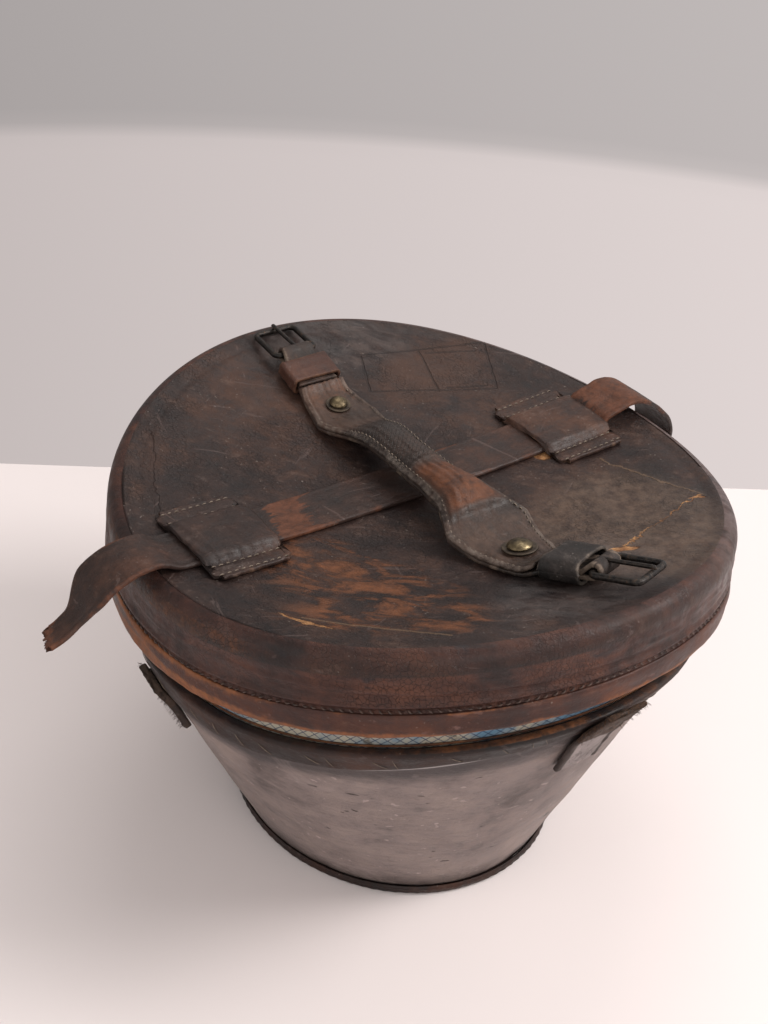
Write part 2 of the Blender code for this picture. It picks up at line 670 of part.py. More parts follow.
stack_top = REST_GAP + HANDLE_LEATHER + GAP + GRIP_LEATHER
board_bottom = -board_drop - TOP_BOARD
for end, frame in ENDS.items():
    at = frame.side * STUD_AT
    step = 0.004
    foot = Vector(HANDLE.over_lid(np.array([at]), 0.0, 0.0)[0])
    along = Vector(np.diff(HANDLE.over_lid(np.array([at - step, at + step]), 0.0, 0.0), axis=0)[0]).normalized()
    across = Vector(np.diff(HANDLE.over_lid(np.full(2, at), np.array([-step, step]), 0.0), axis=0)[0])
    up = along.cross(across).normalized()
    axes = np.array(Matrix((along, up.cross(along), up)).transposed())

    def at_stud(points, axes=axes, foot=np.array(foot)):
        return points @ axes.T + foot

    washer_low = stack_top + 1.5 * GAP
    head_low = washer_low + WASHER_THICK + GAP
    hole = STUD_SHANK + SHANK_CLEAR
    turned(
        f"stud_washer_{end}",
        at_stud,
        (
            (0.78 * WASHER_OUT, washer_low + WASHER_THICK),
            (WASHER_OUT, washer_low + 0.5 * WASHER_THICK),
            (WASHER_OUT, washer_low),
            (hole, washer_low),
            (hole, washer_low + WASHER_THICK),
        ),
        BRASS,
        pierced=True,
    )
    turned(
        f"stud_{end}",
        at_stud,
        (
            (0.45 * STUD_HEAD, head_low + STUD_DOME * 0.93),
            (0.80 * STUD_HEAD, head_low + STUD_DOME * 0.66),
            (STUD_HEAD, head_low + STUD_DOME * 0.15),
            (STUD_HEAD, head_low),
            (STUD_SHANK, head_low),
            (STUD_SHANK, board_bottom - BURR - GAP),
            (0.5 * STUD_SHANK, board_bottom - BURR - GAP),
        ),
        BRASS,
    )
    turned(
        f"stud_burr_{end}",
        at_stud,
        (
            (0.0050, board_bottom - GAP),
            (0.0050, board_bottom - GAP - BURR),
            (hole, board_bottom - GAP - BURR),
            (hole, board_bottom - GAP),
        ),
        BRASS,
        pierced=True,
    )
    drill = turned(f"stud_hole_{end}", at_stud, ((hole, 0.02), (hole, -0.02)), BRASS)
    for piece in (handle_strap, handle_grip, lid_shell, top_board):
        cut(piece, drill)

# Buckles ----------------------------------------------------------------------------------------------------

BUCKLE_CORNER = 0.0035


def wire_loop(name, place, path, radius, finish, sides=8):
    """A round wire bent along a closed flat path in the local x and y."""
    ahead = np.roll(path, -1, 0) - np.roll(path, 1, 0)
    ahead /= np.linalg.norm(ahead, axis=1)[:, None]
    side = np.stack([ahead[:, 1], -ahead[:, 0], np.zeros(len(path))], 1)
    angle = np.linspace(0, 2 * math.pi, sides, endpoint=False)
    rings = path[:, None] + radius * (
        side[:, None] * np.cos(angle)[None, :, None] + np.array([0, 0, 1]) * np.sin(angle)[None, :, None]
    )
    return hoop(name, [place(ring) for ring in rings], finish)


def rod(name, place, path, radii, finish, sides=8):
    """A round rod along an open path in the local x and z, with closed ends."""
    ahead = np.gradient(path, axis=0)
    ahead /= np.linalg.norm(ahead, axis=1)[:, None]
    up = np.stack([-ahead[:, 2], np.zeros(len(path)), ahead[:, 0]], 1)
    angle = np.linspace(0, 2 * math.pi, sides, endpoint=False)
    rings = path[:, None] + radii[:, None, None] * (
        up[:, None] * np.cos(angle)[None, :, None] + np.array([0, -1, 0]) * np.sin(angle)[None, :, None]
    )
    return bowl(name, [place(ring) for ring in rings[::-1]], finish)


def rounded_frame(long, half, corner, steps=4):
    """Points round a frame from its hinge bar at x = 0 to its outer bar at x = long."""
    corners = ((long - corner, half - corner, 0), (corner, half - corner, 90))
    corners += ((corner, corner - half, 180), (long - corner, corner - half, 270))
    points = []
    for x, y, first in corners:
        for degrees in np.linspace(first, first + 90, steps):
            turn = math.radians(degrees)
            points.append((x + corner * math.cos(turn), y + corner * math.sin(turn), 0.0))
    return np.array(points)


for end, frame in ENDS.items():
    # The hinge bar lies in the strap's fold. A frame that isn't raised leans down until its outer bar meets the lid.
    drop = (BAR_UP - WIRE - GAP) * (1 - BUCKLE_RAISED[end])
    pitch = Matrix.Rotation(math.asin(drop / BUCKLE_LONG), 4, "Y")
    hinge = frame.matrix @ Matrix.Translation((0, 0, BAR_UP)) @ pitch
    turn = np.array(hinge)

    def at_hinge(points, turn=turn):
        return np.asarray(points) @ turn[:3, :3].T + turn[:3, 3]

    wire_loop(f"buckle_frame_{end}", at_hinge, rounded_frame(BUCKLE_LONG, BUCKLE_HALF, BUCKLE_CORNER), WIRE, IRON)
    curl = WIRE + EYE_CLEAR + TONGUE_WIRE
    wrap = np.radians(np.linspace(-150, -450, 9) + 180)
    tongue_up = WIRE + GAP + TONGUE_WIRE
    straight = np.array([(0.35, 1.0), (0.8, 1.0), (1.02, 1.0), (1.09, 0.75)])
    tongue = np.concatenate(
        [
            np.stack([curl * np.cos(wrap), np.zeros(len(wrap)), curl * np.sin(wrap)], 1),
            np.stack([straight[:, 0] * BUCKLE_LONG, np.zeros(4), straight[:, 1] * tongue_up], 1),
        ]
    )
    radii = np.concatenate([np.full(len(tongue) - 2, TONGUE_WIRE), [0.95 * TONGUE_WIRE, 0.6 * TONGUE_WIRE]])
    rod(f"buckle_tongue_{end}", at_hinge, tongue, radii, IRON)

    slot_x = np.array([eye + HANDLE_LEATHER, -SLOT_BACK])
    slot_box = np.array([[x, y, z] for x in slot_x for y in (-SLOT_HALF, SLOT_HALF) for z in (-0.002, 0.024)])
    upper = frame.place(slot_box[[7, 5, 3, 1]]).reshape(2, 2, 3)
    lower = frame.place(slot_box[[6, 4, 2, 0]]).reshape(2, 2, 3)
    slot = slab(f"tongue_slot_{end}", upper, lower, IRON)
    cut(handle_strap, slot)

    inner_low, inner_high = KEEPER_LEATHER, upper_layer_up + HANDLE_LEATHER / 2 + KEEPER_CLEAR
    section = []
    for grow in (KEEPER_LEATHER, 0.0):
        low, high, half = inner_low - grow, inner_high + grow, KEEPER_HALF + grow
        soft = 0.0006 + grow / 2
        section.append(
            np.array(
                [(half, low + soft), (half, high - soft), (half - soft, high), (soft - half, high), (-half, high - soft),
                 (-half, low + soft), (soft - half, low), (half - soft, low)]
            )
        )
    rings = []
    for loop, x in ((0, KEEPER_OUT), (0, KEEPER_IN), (1, KEEPER_IN), (1, KEEPER_OUT)):
        shape = section[loop]
        rings.append(frame.place(np.stack([np.full(8, x - BUCKLE_AT), shape[:, 0], shape[:, 1]], 1)))
    hoop(f"keeper_{end}", rings, STRAP_LEATHER)
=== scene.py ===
"""A worn leather top-hat case.

A tapered oval bucket, a check-cloth collar, a saddle-shaped lid with a handle, and a torn cross strap.
"""

import math

import bpy
import numpy as np
from mathutils import Matrix, Vector


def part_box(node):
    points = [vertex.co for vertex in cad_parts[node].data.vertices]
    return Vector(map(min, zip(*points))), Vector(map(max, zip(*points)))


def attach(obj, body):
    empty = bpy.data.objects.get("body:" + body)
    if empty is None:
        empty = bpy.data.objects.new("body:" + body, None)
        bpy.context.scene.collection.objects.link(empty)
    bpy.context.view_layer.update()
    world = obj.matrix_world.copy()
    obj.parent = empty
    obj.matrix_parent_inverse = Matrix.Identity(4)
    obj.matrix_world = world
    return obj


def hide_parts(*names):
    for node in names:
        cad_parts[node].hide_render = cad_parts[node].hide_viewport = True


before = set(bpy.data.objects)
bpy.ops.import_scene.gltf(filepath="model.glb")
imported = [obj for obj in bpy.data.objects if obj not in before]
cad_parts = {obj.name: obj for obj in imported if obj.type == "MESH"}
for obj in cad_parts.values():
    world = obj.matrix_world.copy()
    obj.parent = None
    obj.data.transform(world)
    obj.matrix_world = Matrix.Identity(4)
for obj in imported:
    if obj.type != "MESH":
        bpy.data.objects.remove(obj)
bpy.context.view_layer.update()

# Camera, floor and light ------------------------------------------------------------------------------------
# The case is seen from its front left corner and from above, in soft light from above and behind.

camera = bpy.data.objects.new("camera", bpy.data.cameras.new("camera"))
bpy.context.scene.collection.objects.link(camera)
look = Vector((-0.68840, 0.46438, -0.55719))
across = look.cross(Vector((-0.03152, 0.01536, 0.05174))).normalized()
upright = across.cross(look).normalized()
camera.matrix_world = Matrix((across, upright, -look)).transposed().to_4x4()
camera.location = (0.6077, -0.4299, 0.6940)
camera.data.sensor_width = 36
camera.data.lens = 56.25
camera.data.clip_start, camera.data.clip_end = 0.01, 50
bpy.context.scene.camera = camera

# The floor ends behind the case, and the grey of the room is seen past its edge.
shelf = bpy.data.meshes.new("floor")
corner_left, corner_right = Vector((-3.480, -5.498, -0.0003)), Vector((2.898, 5.858, -0.0003))
nearer = Vector((5.4, -3.03, 0))
shelf.from_pydata([corner_left, corner_left + nearer, corner_right + nearer, corner_right], [],
                  [(0, 1, 2, 3)])
floor = bpy.data.objects.new("floor", shelf)
bpy.context.scene.collection.objects.link(floor)
paper = bpy.data.materials.new("pale_floor")
paper.use_nodes = True
paper.node_tree.nodes["Principled BSDF"].inputs["Base Color"].default_value = (0.755, 0.688, 0.677, 1)
paper.node_tree.nodes["Principled BSDF"].inputs["Roughness"].default_value = 0.7
floor.data.materials.append(paper)

world = bpy.data.worlds.new("studio")
world.use_nodes = True
room = world.node_tree.nodes["Background"].inputs
direction = world.node_tree.nodes.new("ShaderNodeTexCoord").outputs["Generated"]
height = world.node_tree.nodes.new("ShaderNodeSeparateXYZ")
tones = world.node_tree.nodes.new("ShaderNodeValToRGB")
world.node_tree.links.new(direction, height.inputs[0])
shift = world.node_tree.nodes.new("ShaderNodeMath")
shift.operation = "MULTIPLY_ADD"
shift.inputs[1].default_value, shift.inputs[2].default_value = 0.5, 0.5
world.node_tree.links.new(height.outputs["Z"], shift.inputs[0])
world.node_tree.links.new(shift.outputs[0], tones.inputs[0])
world.node_tree.links.new(tones.outputs[0], room["Color"])
# The room is brighter towards the right of the view.
sideways = world.node_tree.nodes.new("ShaderNodeVectorMath")
sideways.operation = "DOT_PRODUCT"
sideways.inputs[1].default_value = 0.6 * across
world.node_tree.links.new(direction, sideways.inputs[0])
brightness = world.node_tree.nodes.new("ShaderNodeMath")
brightness.inputs[1].default_value = 1.05
world.node_tree.links.new(sideways.outputs["Value"], brightness.inputs[0])
world.node_tree.links.new(brightness.outputs[0], room["Strength"])
bands = tones.color_ramp.elements
bands[0].position, bands[0].color = 0.320, (0.62, 0.555, 0.545, 1)
bands[1].position, bands[1].color = 0.75, (0.50, 0.48, 0.47, 1)
seam = bands.new(0.325)
seam.color = (0.435, 0.40, 0.395, 1)
bpy.context.scene.world = world
bpy.context.scene.view_settings.view_transform = "Standard"

for name, place, size, power in (
    ("key_light", (0.9, 1.2, 1.5), 0.7, 33),
    ("top_light", (-0.6, 0.5, 1.9), 1.0, 9),
    ("front_light", (1.4, -0.6, 1.1), 1.2, 8.5),
    ("left_light", (-0.2, -1.6, 0.9), 1.2, 7),
):
    lamp = bpy.data.lights.new(name, "AREA")
    lamp.size, lamp.energy = size, power
    lamp.color = (1.0, 0.97, 0.95)
    light = bpy.data.objects.new(name, lamp)
    light.location = place
    light.rotation_euler = (Vector((0, 0, 0.15)) - Vector(place)).to_track_quat("-Z", "Y").to_euler()
    bpy.context.scene.collection.objects.link(light)

# Base: a leather-covered board, with a rolled welt sewn round its edge --------------------------------------
# The board is the CAD node. The welt is a roll of dark leather, pinched where the wall was sewn into it.


class Field:
    """A value that varies over a surface: a socket of a material, with the arithmetic of numbers."""

    def __init__(self, finish, socket):
        self.finish, self.socket = finish, socket

    def join(self, operation, first, second=0.0, third=0.0):
        return self.finish.node("ShaderNodeMath", {"operation": operation}, {0: first, 1: second, 2: third})

    def __add__(self, other):
        return self.join("ADD", self, other)

    def __sub__(self, other):
        return self.join("SUBTRACT", self, other)

    def __rsub__(self, other):
        return self.join("SUBTRACT", other, self)

    def __mul__(self, other):
        return self.join("MULTIPLY", self, other)

    def __truediv__(self, other):
        return self.join("DIVIDE", self, other)

    __radd__, __rmul__ = __add__, __mul__

    def size(self):
        return self.join("ABSOLUTE", self)

    def most(self, other):
        return self.join("MAXIMUM", self, other)

    def step(self, low, high):
        """0 below low and 1 above high, with a smooth rise between them, or a fall where high is less."""
        settings = {"interpolation_type": "SMOOTHSTEP"}
        if low < high:
            return self.finish.node("ShaderNodeMapRange", settings,
                                    {0: self, 1: low, 2: high, 3: 0.0, 4: 1.0})
        return self.finish.node("ShaderNodeMapRange", settings, {0: self, 1: high, 2: low, 3: 1.0, 4: 0.0})


class Finish:
    """A material: its Principled shader and the nodes that feed it."""

    def __init__(self, name, **constants):
        self.material = bpy.data.materials.new(name)
        self.material.use_nodes = True
        self.tree = self.material.node_tree
        self.shader = self.tree.nodes["Principled BSDF"]
        for socket, value in constants.items():
            self.shader.inputs[socket.replace("_", " ")].default_value = value
        self.at = self.node("ShaderNodeTexCoord", out="Object")

    def node(self, kind, settings=None, sockets=None, out=0):
        """Adds one node. Settings go first: stops fill a colour ramp, anything else is an attribute."""
        made = self.tree.nodes.new(kind)
        for key, value in (settings or {}).items():
            if key != "stops":
                setattr(made, key, value)
                continue
            ramp = made.color_ramp.elements
            while len(ramp) < len(value):
                ramp.new(0.5)
            for stop, (position, colour) in zip(ramp, value):
                stop.position, stop.color = position, (*colour, 1)
        for key, value in (sockets or {}).items():
            self.feed(made.inputs[key], value)
        return Field(self, made.outputs[out])

    def feed(self, socket, value):
        if isinstance(value, Field):
            self.tree.links.new(value.socket, socket)
        elif isinstance(value, tuple) and len(value) < len(socket.default_value):
            socket.default_value = (*value, 1)
        else:
            socket.default_value = value

    def set(self, **fields):
        for socket, value in fields.items():
            self.feed(self.shader.inputs[socket.replace("_", " ")], value)

    def mix(self, share, low, high):
        return self.node("ShaderNodeMix", {"data_type": "RGBA"}, {0: share, 6: low, 7: high}, out=2)

    def ramp(self, field, *stops):
        return self.node("ShaderNodeValToRGB", {"stops": stops}, {0: field})

    def stretched(self, scale, at=None, turn=0.0):
        """Coordinates that run scale times as fast along each axis, after the axes are turned about z."""
        sockets = {"Vector": at or self.at, "Scale": tuple(1 / s for s in scale), "Rotation": (0, 0, turn)}
        return self.node("ShaderNodeMapping", {"vector_type": "TEXTURE"}, sockets)

    def noise(self, scale, detail=4.0, roughness=0.55, at=None, twist=0.0):
        sockets = {"Vector": at or self.at, "Scale": scale, "Detail": detail, "Roughness": roughness}
        return self.node("ShaderNodeTexNoise", None, {**sockets, "Distortion": twist})

    def cells(self, scale, feature="F1", at=None):
        return self.node("ShaderNodeTexVoronoi", {"feature": feature},
                         {"Vector": at or self.at, "Scale": scale})

    def part(self, axis, at=None):
        return self.node("ShaderNodeSeparateXYZ", None, {0: at or self.at}, out=axis)

    def attribute(self, name):
        return self.node("ShaderNodeAttribute", {"attribute_name": name}, out="Fac")

    def bump(self, height, distance, strength=1.0, normal=None):
        sockets = {"Height": height, "Distance": distance, "Strength": strength}
        if normal:
            sockets["Normal"] = normal
        return self.node("ShaderNodeBump", None, sockets)


def leather(name, dark, middle, warm, bare, rough=(0.38, 0.66), along=(1, 1, 1), turn=0.0, dusty=0.5,
            marks=None):
    """Old vegetable-tanned leather.

    Its colour wanders from dark grime through the middle tone to warm, polished wear. The wear attribute
    bares the light flesh below, dust lies as a grey bloom and as flecks, and scratches run along. marks adds
    to one piece.
    """
    made = Finish(name, Specular_IOR_Level=0.22, Coat_Roughness=0.3)
    broad = made.noise(14, 6, 0.62, twist=0.5)
    patches = made.noise(46, 7, 0.66, twist=0.3)
    small = made.noise(170, 7, 0.7)
    line_at = made.stretched(along, turn=turn)
    lines = made.noise(70, 8, 0.72, at=line_at)
    tone = broad * 0.42 + patches * 0.34 + small * 0.14 + lines * 0.16
    colour = made.ramp(tone, (0.43, dark), (0.53, middle), (0.655, warm))
    pale = tuple(min(1, 2.6 * c + 0.03) for c in middle)
    scratch = 0.0
    for pitch, stretch, turned in ((160, 14, 0.3), (120, 18, -0.9), (210, 12, 1.5)):
        at = made.stretched((1, stretch, stretch), turn=turn + turned)
        scratch = made.noise(pitch / stretch, 3, 0.55, at=at).step(0.685, 0.71) + scratch
    colour = made.mix(scratch * 0.40, colour, pale)
    bloom = (lines * 0.5 + patches * 0.3 + small * 0.3).step(0.57, 0.72) * dusty
    colour = made.mix(bloom * 0.30, colour, (0.20, 0.17, 0.155))
    flecks = made.noise(620, 2, 0.5).step(0.70, 0.735) * patches.step(0.42, 0.6)
    colour = made.mix(flecks * dusty, colour, (0.30, 0.26, 0.23))
    grain = made.cells(900, "SMOOTH_F1")
    height = patches * 0.5 + small * 0.34 + lines * 0.16 + grain * 0.06 - scratch * 0.05
    wear = made.attribute("wear")
    bared = (wear + small * 0.55 + patches * 0.35 - 0.45).step(0.30, 0.62)
    flesh = made.ramp(small, (0.35, tuple(0.45 * c for c in bare)), (0.62, bare))
    colour = made.mix(bared * 0.85, colour, flesh)
    if marks:
        colour, height = marks(made, colour, height)
    gloss = (patches * 0.5 + small * 0.3 + lines * 0.3).step(0.40, 0.70)
    made.set(Base_Color=colour, Roughness=gloss * (rough[1] - rough[0]) + rough[0] + bared * 0.12)
    made.set(Coat_Weight=(1 - gloss) * 0.10)
    made.set(Normal=made.bump(height, 0.0024, 0.8))
    return made


TAU = 2 * math.pi


def smooth(low, high, value):
    """0 at low and 1 at high, with level ends."""
    share = np.clip((value - low) / (high - low), 0, 1)
    return share * share * (3 - 2 * share)


def ripple(around, rows, seed, waves=9):
    """A gentle unevenness over a surface that closes round it: a sum of sines of whole numbers of waves."""
    draw = np.random.default_rng(seed)
    total = 0.0
    for count in range(1, waves + 1):
        phase, drift = draw.uniform(0, TAU, 2)
        total = total + np.sin(count * around + drift * 1.5 * rows + phase) / count**0.8
    return total / 1.9


def skin(name, points, finish, body, *replaced, slot=None, closed_rows=False, fields=None):
    """A closed surface from a grid of points: each row is a loop.

    The last row joins the first where closed_rows is set, and otherwise a middle point closes each end. The
    faces are turned outwards by the sign of the enclosed volume, a sixth of the sum of a . (b x c) over the
    triangles.
    """
    rows, columns = points.shape[:2]
    index = np.arange(rows * columns).reshape(rows, columns)
    onward = np.roll(index, -1, 1)
    last = rows if closed_rows else rows - 1
    above = np.roll(index, -1, 0)
    around_face = [index[:last], onward[:last], np.roll(above, -1, 1)[:last], above[:last]]
    quads = np.stack(around_face, -1).reshape(-1, 4)
    flat = points.reshape(-1, 3)
    ends = np.empty((0, 3), int)
    if not closed_rows:
        flat = np.concatenate([flat, points[:1].mean(1), points[-1:].mean(1)])
        first, final = np.full(columns, rows * columns), np.full(columns, rows * columns + 1)
        ends = np.concatenate(
            [np.stack([first, onward[0], index[0]], 1), np.stack([final, index[-1], onward[-1]], 1)]
        )
    corners = np.concatenate([quads[:, [0, 1, 2]], quads[:, [0, 2, 3]], ends])
    a, b, c = (flat[corners[:, i]] for i in range(3))
    if np.einsum("ij,ij->", a, np.cross(b, c)) < 0:
        quads, ends = quads[:, ::-1], ends[:, ::-1]
    mesh = bpy.data.meshes.new(name)
    mesh.vertices.add(len(flat))
    mesh.vertices.foreach_set("co", flat.ravel())
    loops = np.concatenate([quads.ravel(), ends.ravel()])
    starts = np.concatenate([np.arange(len(quads)) * 4, len(quads) * 4 + np.arange(len(ends)) * 3])
    mesh.loops.add(len(loops))
    mesh.loops.foreach_set("vertex_index", loops)
    mesh.polygons.add(len(starts))
    mesh.polygons.foreach_set("loop_start", starts)
    mesh.update(calc_edges=True)
    mesh.shade_smooth()
    for field, values in (fields or {}).items():
        values = np.broadcast_to(values, (rows, columns))
        spread = values.ravel()
        if not closed_rows:
            spread = np.concatenate([spread, values[:1].mean(1), values[-1:].mean(1)])
        mesh.attributes.new(field, "FLOAT", "POINT").data.foreach_set("value", spread)
    piece = bpy.data.objects.new(name, mesh)
    bpy.context.scene.collection.objects.link(piece)
    mesh.materials.append(finish.material)
    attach(piece, body)
    if replaced:
        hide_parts(*replaced)
    return piece


def repaint(node, finish):
    """Gives a CAD node a finish of this scene."""
    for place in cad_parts[node].material_slots:
        place.material = finish.material


CASE_COLOURS = {"dark": (0.080, 0.060, 0.055), "middle": (0.205, 0.160, 0.149), "warm": (0.30, 0.235, 0.21)}
EDGE_COLOURS = {"dark": (0.009, 0.0065, 0.006), "middle": (0.022, 0.012, 0.010),
                "warm": (0.055, 0.023, 0.014)}
BARE = (0.20, 0.075, 0.028)

base_leather = leather("base_leather", **EDGE_COLOURS, bare=BARE, along=(1, 6, 1))
repaint("base_board", base_leather)

base_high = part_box("base_board")[1]
BASE_A, BASE_B = base_high.x, base_high.y
WALL_LEAN = 0.43  # how fast the wall widens with height
turn = np.linspace(0, TAU, 288, endpoint=False)[None]
roll = np.linspace(0, TAU, 20, endpoint=False)[:, None]
WELT_OUT, WELT_HIGH = 0.0040, 0.0062
bulge = 0.5 + 0.5 * np.cos(roll)  # the roll stands out at the outer side only
welt_z = 0.0003 + WELT_HIGH * (0.5 + 0.5 * np.sin(roll)) + 0 * turn
pinch = 0.0004 * ripple(turn, roll, 3, 24) + 0.00025 * np.sin(96 * turn)
welt_out = 0.0003 + WALL_LEAN * welt_z + bulge * (WELT_OUT - WALL_LEAN * welt_z * 0.8 + pinch * bulge)
welt = np.stack([(BASE_A + welt_out) * np.cos(turn), (BASE_B + welt_out) * np.sin(turn), welt_z], -1)
skin("welt", welt, base_leather, "case", "base_welt", slot="edge_leather", closed_rows=True,
     fields={"wear": 0.10 * bulge})

# Wall: one sheet of thick hide bent into an oval cone, with a saddle-shaped mouth ---------------------------
# It is worn to a smooth grey brown, scuffed and scratched, with painted shade under the binding, and darker
# over the welt.

MOUTH_A, MOUTH_B = 0.1645, 0.1528
BAND_Z, BAND_SADDLE = 0.1474, 0.0188
EDGE_Z, EDGE_SADDLE = 0.1600, 0.0156
EDGE_T = EDGE_Z / BAND_Z
WALL = 0.0035


def wall_point(t, out, angle):
    """The wall at a share t of the way up to the binding: half axes and saddle grow evenly with t."""
    past = np.clip(t - 1, 0, None) / (EDGE_T - 1)
    saddle = BAND_SADDLE * np.minimum(t, 1) + (EDGE_SADDLE - BAND_SADDLE) * past
    half_a = BASE_A + (MOUTH_A - BASE_A) * t + out
    half_b = BASE_B + (MOUTH_B - BASE_B) * t + out
    cosine, sine = np.cos(angle), np.sin(angle)
    z = BAND_Z * t + saddle * np.cos(2 * angle)
    return np.stack(np.broadcast_arrays(half_a * cosine, half_b * sine, z), -1)


def wall_marks(made, colour, height):
    """A band of painted shade below the binding, a dark band above the welt, pits and gouges, and long
    scratches round the wall.
    """
    level = made.attribute("level")
    spots = made.noise(60, 5, 0.7, at=made.stretched((1, 1, 3)))
    # Painted shade: the band below the binding, under the lid's overhanging rim, is darkened to grey black.
    under = (level + spots * 0.10).step(0.90, 0.99)
    colour = made.mix(under * 0.8, colour, (0.040, 0.034, 0.036))
    colour = made.mix((level - 0.970).size().step(0.007, 0.002) * 0.75, colour, (0.46, 0.42, 0.41))
    near_base = (level - spots * 0.10).step(0.10, 0.0)
    colour = made.mix(near_base * 0.6, colour, (0.05, 0.038, 0.033))
    pits = made.noise(95, 3, 0.5, at=made.stretched((0.6, 0.6, 1.8))).step(0.70, 0.72)
    colour = made.mix(pits * 0.85, colour, (0.03, 0.02, 0.016))
    scars = made.noise(26, 4, 0.75, at=made.stretched((1, 1, 16)))
    colour = made.mix((scars - 0.5).size().step(0.006, 0.0) * 0.25, colour, (0.27, 0.225, 0.205))
    colour = made.mix(made.noise(19, 6, 0.7, twist=0.8).step(0.54, 0.68) * 0.5, colour, (0.30, 0.24, 0.225))
    return colour, height - pits * 0.8 + (scars - 0.5).size().step(0.006, 0.0) * 0.10


wall_leather = leather(
    "wall_leather", **CASE_COLOURS, bare=(0.30, 0.17, 0.10), rough=(0.46, 0.72), along=(1, 1, 9),
    marks=wall_marks
)
turn = np.linspace(0, TAU, 320, endpoint=False)[None]
WALL_FOOT = 0.035
levels = np.linspace(EDGE_T, WALL_FOOT, 90)[:, None]
uneven = 0.0005 * ripple(turn, levels, 5) + 0.00025 * ripple(turn * 5, levels * 7, 6)
pressed = -0.0006 * np.exp(-(((levels - 0.955) / 0.02) ** 2))  # the crease under the binding
outer = wall_point(levels, uneven + pressed, turn)
inner = wall_point(np.linspace(WALL_FOOT, EDGE_T, 5)[:, None], -WALL, turn)
wall = np.concatenate([outer, inner])
level = np.concatenate([levels, np.linspace(WALL_FOOT, EDGE_T, 5)[:, None]])
skin("case_wall", wall, wall_leather, "case", "body_wall", slot="case_leather", closed_rows=True,
     fields={"level": level, "wear": 0.0})

# Binding: a strip of thin dark leather folded over the mouth and sewn down over the wall --------------------
# Its edges are rubbed to orange, and slanting whip stitches of waxed thread hold its lower edge.

edge_leather = leather("edge_leather", **EDGE_COLOURS, bare=BARE, rough=(0.42, 0.66), along=(1, 1, 6),
                       dusty=0.35)
turn = np.linspace(0, TAU, 448, endpoint=False)[None]


def binding_low(angle):
    """The lower edge wanders about 1 mm as a hand-cut strip does."""
    return 1.0 - 0.012 + 0.007 * ripple(angle, 0.0, 11, 14)


section = (  # share of the way up from the lower edge to the mouth, how far out, how far above the mouth
    (0.00, 0.0004, 0.0), (0.00, 0.0013, 0.0), (0.06, 0.0018, 0.0), (0.30, 0.0019, 0.0),
    (0.62, 0.0018, 0.0), (0.90, 0.0019, 0.0), (0.99, 0.0017, 0.0006), (1.0, 0.0009, 0.0015),
    (1.0, -0.0006, 0.0020), (1.0, -0.0030, 0.0017), (1.0, -0.0046, 0.0008), (0.86, -0.0050, 0.0),
    (0.60, -0.0049, 0.0), (0.60, -0.0040, 0.0), (0.86, -0.0039, 0.0), (1.0, -0.0038, 0.0003),
    (1.0, 0.0003, 0.0003),
)
rows = np.array(section)
mouth_t = np.clip(binding_low(turn), 0, 2)
t = mouth_t + (EDGE_T - mouth_t) * rows[:, :1]
grow = 0.0003 * ripple(turn * 3, rows[:, :1] * 4, 12) * (rows[:, 1:2] > 0.001)
binding = wall_point(t, rows[:, 1:2] + grow, turn)
binding[..., 2] += rows[:, 2:]
wear = 0.12 * np.exp(-(((rows[:, :1] - 0.03) / 0.08) ** 2)) + 0.40 * (rows[:, 2:] > 0.0008) + 0 * turn
skin("mouth_binding", binding, edge_leather, "case", "body_binding", slot="edge_leather", closed_rows=True,
     fields={"wear": wear * (0.75 + 0.5 * ripple(turn, rows[:, :1], 13))})

thread = Finish("waxed_thread", Roughness=0.7)
twist = thread.noise(700, 3)
thread.set(Base_Color=thread.ramp(twist, (0.3, (0.06, 0.042, 0.03)), (0.7, (0.22, 0.17, 0.13))))


def stitches(name, places, along, away, long, thick, body, finish=thread):
    """Sewing: each stitch is a rod whose ends dip into the leather, at r (1.6 sin(pi v) - 0.9) along it."""
    count = len(places)
    share = np.linspace(0, 1, 7)
    ring = np.linspace(0, TAU, 6, endpoint=False)
    radius = thick * np.array([0.35, 0.8, 1, 1, 1, 0.8, 0.35])
    side = np.cross(along, away)
    side /= np.linalg.norm(side, axis=1)[:, None]
    centre = places[:, None] + along[:, None] * ((share - 0.5) * long)[None, :, None]
    centre = centre + away[:, None] * (thick * (1.6 * np.sin(math.pi * share) - 0.9))[None, :, None]
    around = side[:, None] * np.cos(ring)[None, :, None] + away[:, None] * np.sin(ring)[None, :, None]
    points = centre[:, :, None] + radius[None, :, None, None] * around[:, None]
    index = np.arange(count * 42).reshape(count, 7, 6)
    onward = np.roll(index, -1, 2)
    quads = np.stack([index[:, :-1], index[:, 1:], onward[:, 1:], onward[:, :-1]], -1).reshape(-1, 4)
    caps = np.concatenate([index[:, 0, :], index[:, -1, ::-1]])
    mesh = bpy.data.meshes.new(name)
    mesh.from_pydata(points.reshape(-1, 3).tolist(), [], quads.tolist() + caps.tolist())
    mesh.shade_smooth()
    piece = bpy.data.objects.new(name, mesh)
    bpy.context.scene.collection.objects.link(piece)
    mesh.materials.append(finish.material)
    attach(piece, body)
    return piece


def unit(vectors):
    return vectors / np.linalg.norm(vectors, axis=-1, keepdims=True)


draw = np.random.default_rng(21)
angle = np.linspace(0, TAU, 54, endpoint=False) + draw.uniform(-0.055, 0.055, 54)
mid = binding_low(angle) + 0.042
here = wall_point(mid, 0.0021, angle)
slant = unit(wall_point(mid + 0.02, 0.0021, angle - draw.uniform(0.004, 0.022, 54)) - here)
outward = unit(np.stack([np.cos(angle) / MOUTH_A, np.sin(angle) / MOUTH_B, 0 * angle - 1.6], -1))
stitches("binding_stitches", here, slant, outward, 0.0100, 0.00022, "case")

# Collar: pasteboard covered in check cloth, standing up inside the mouth for the lid to sit over ------------
# The cloth is cream with a blue cross check on the bias, faded and dirty, and rubbed brown along the bottom.

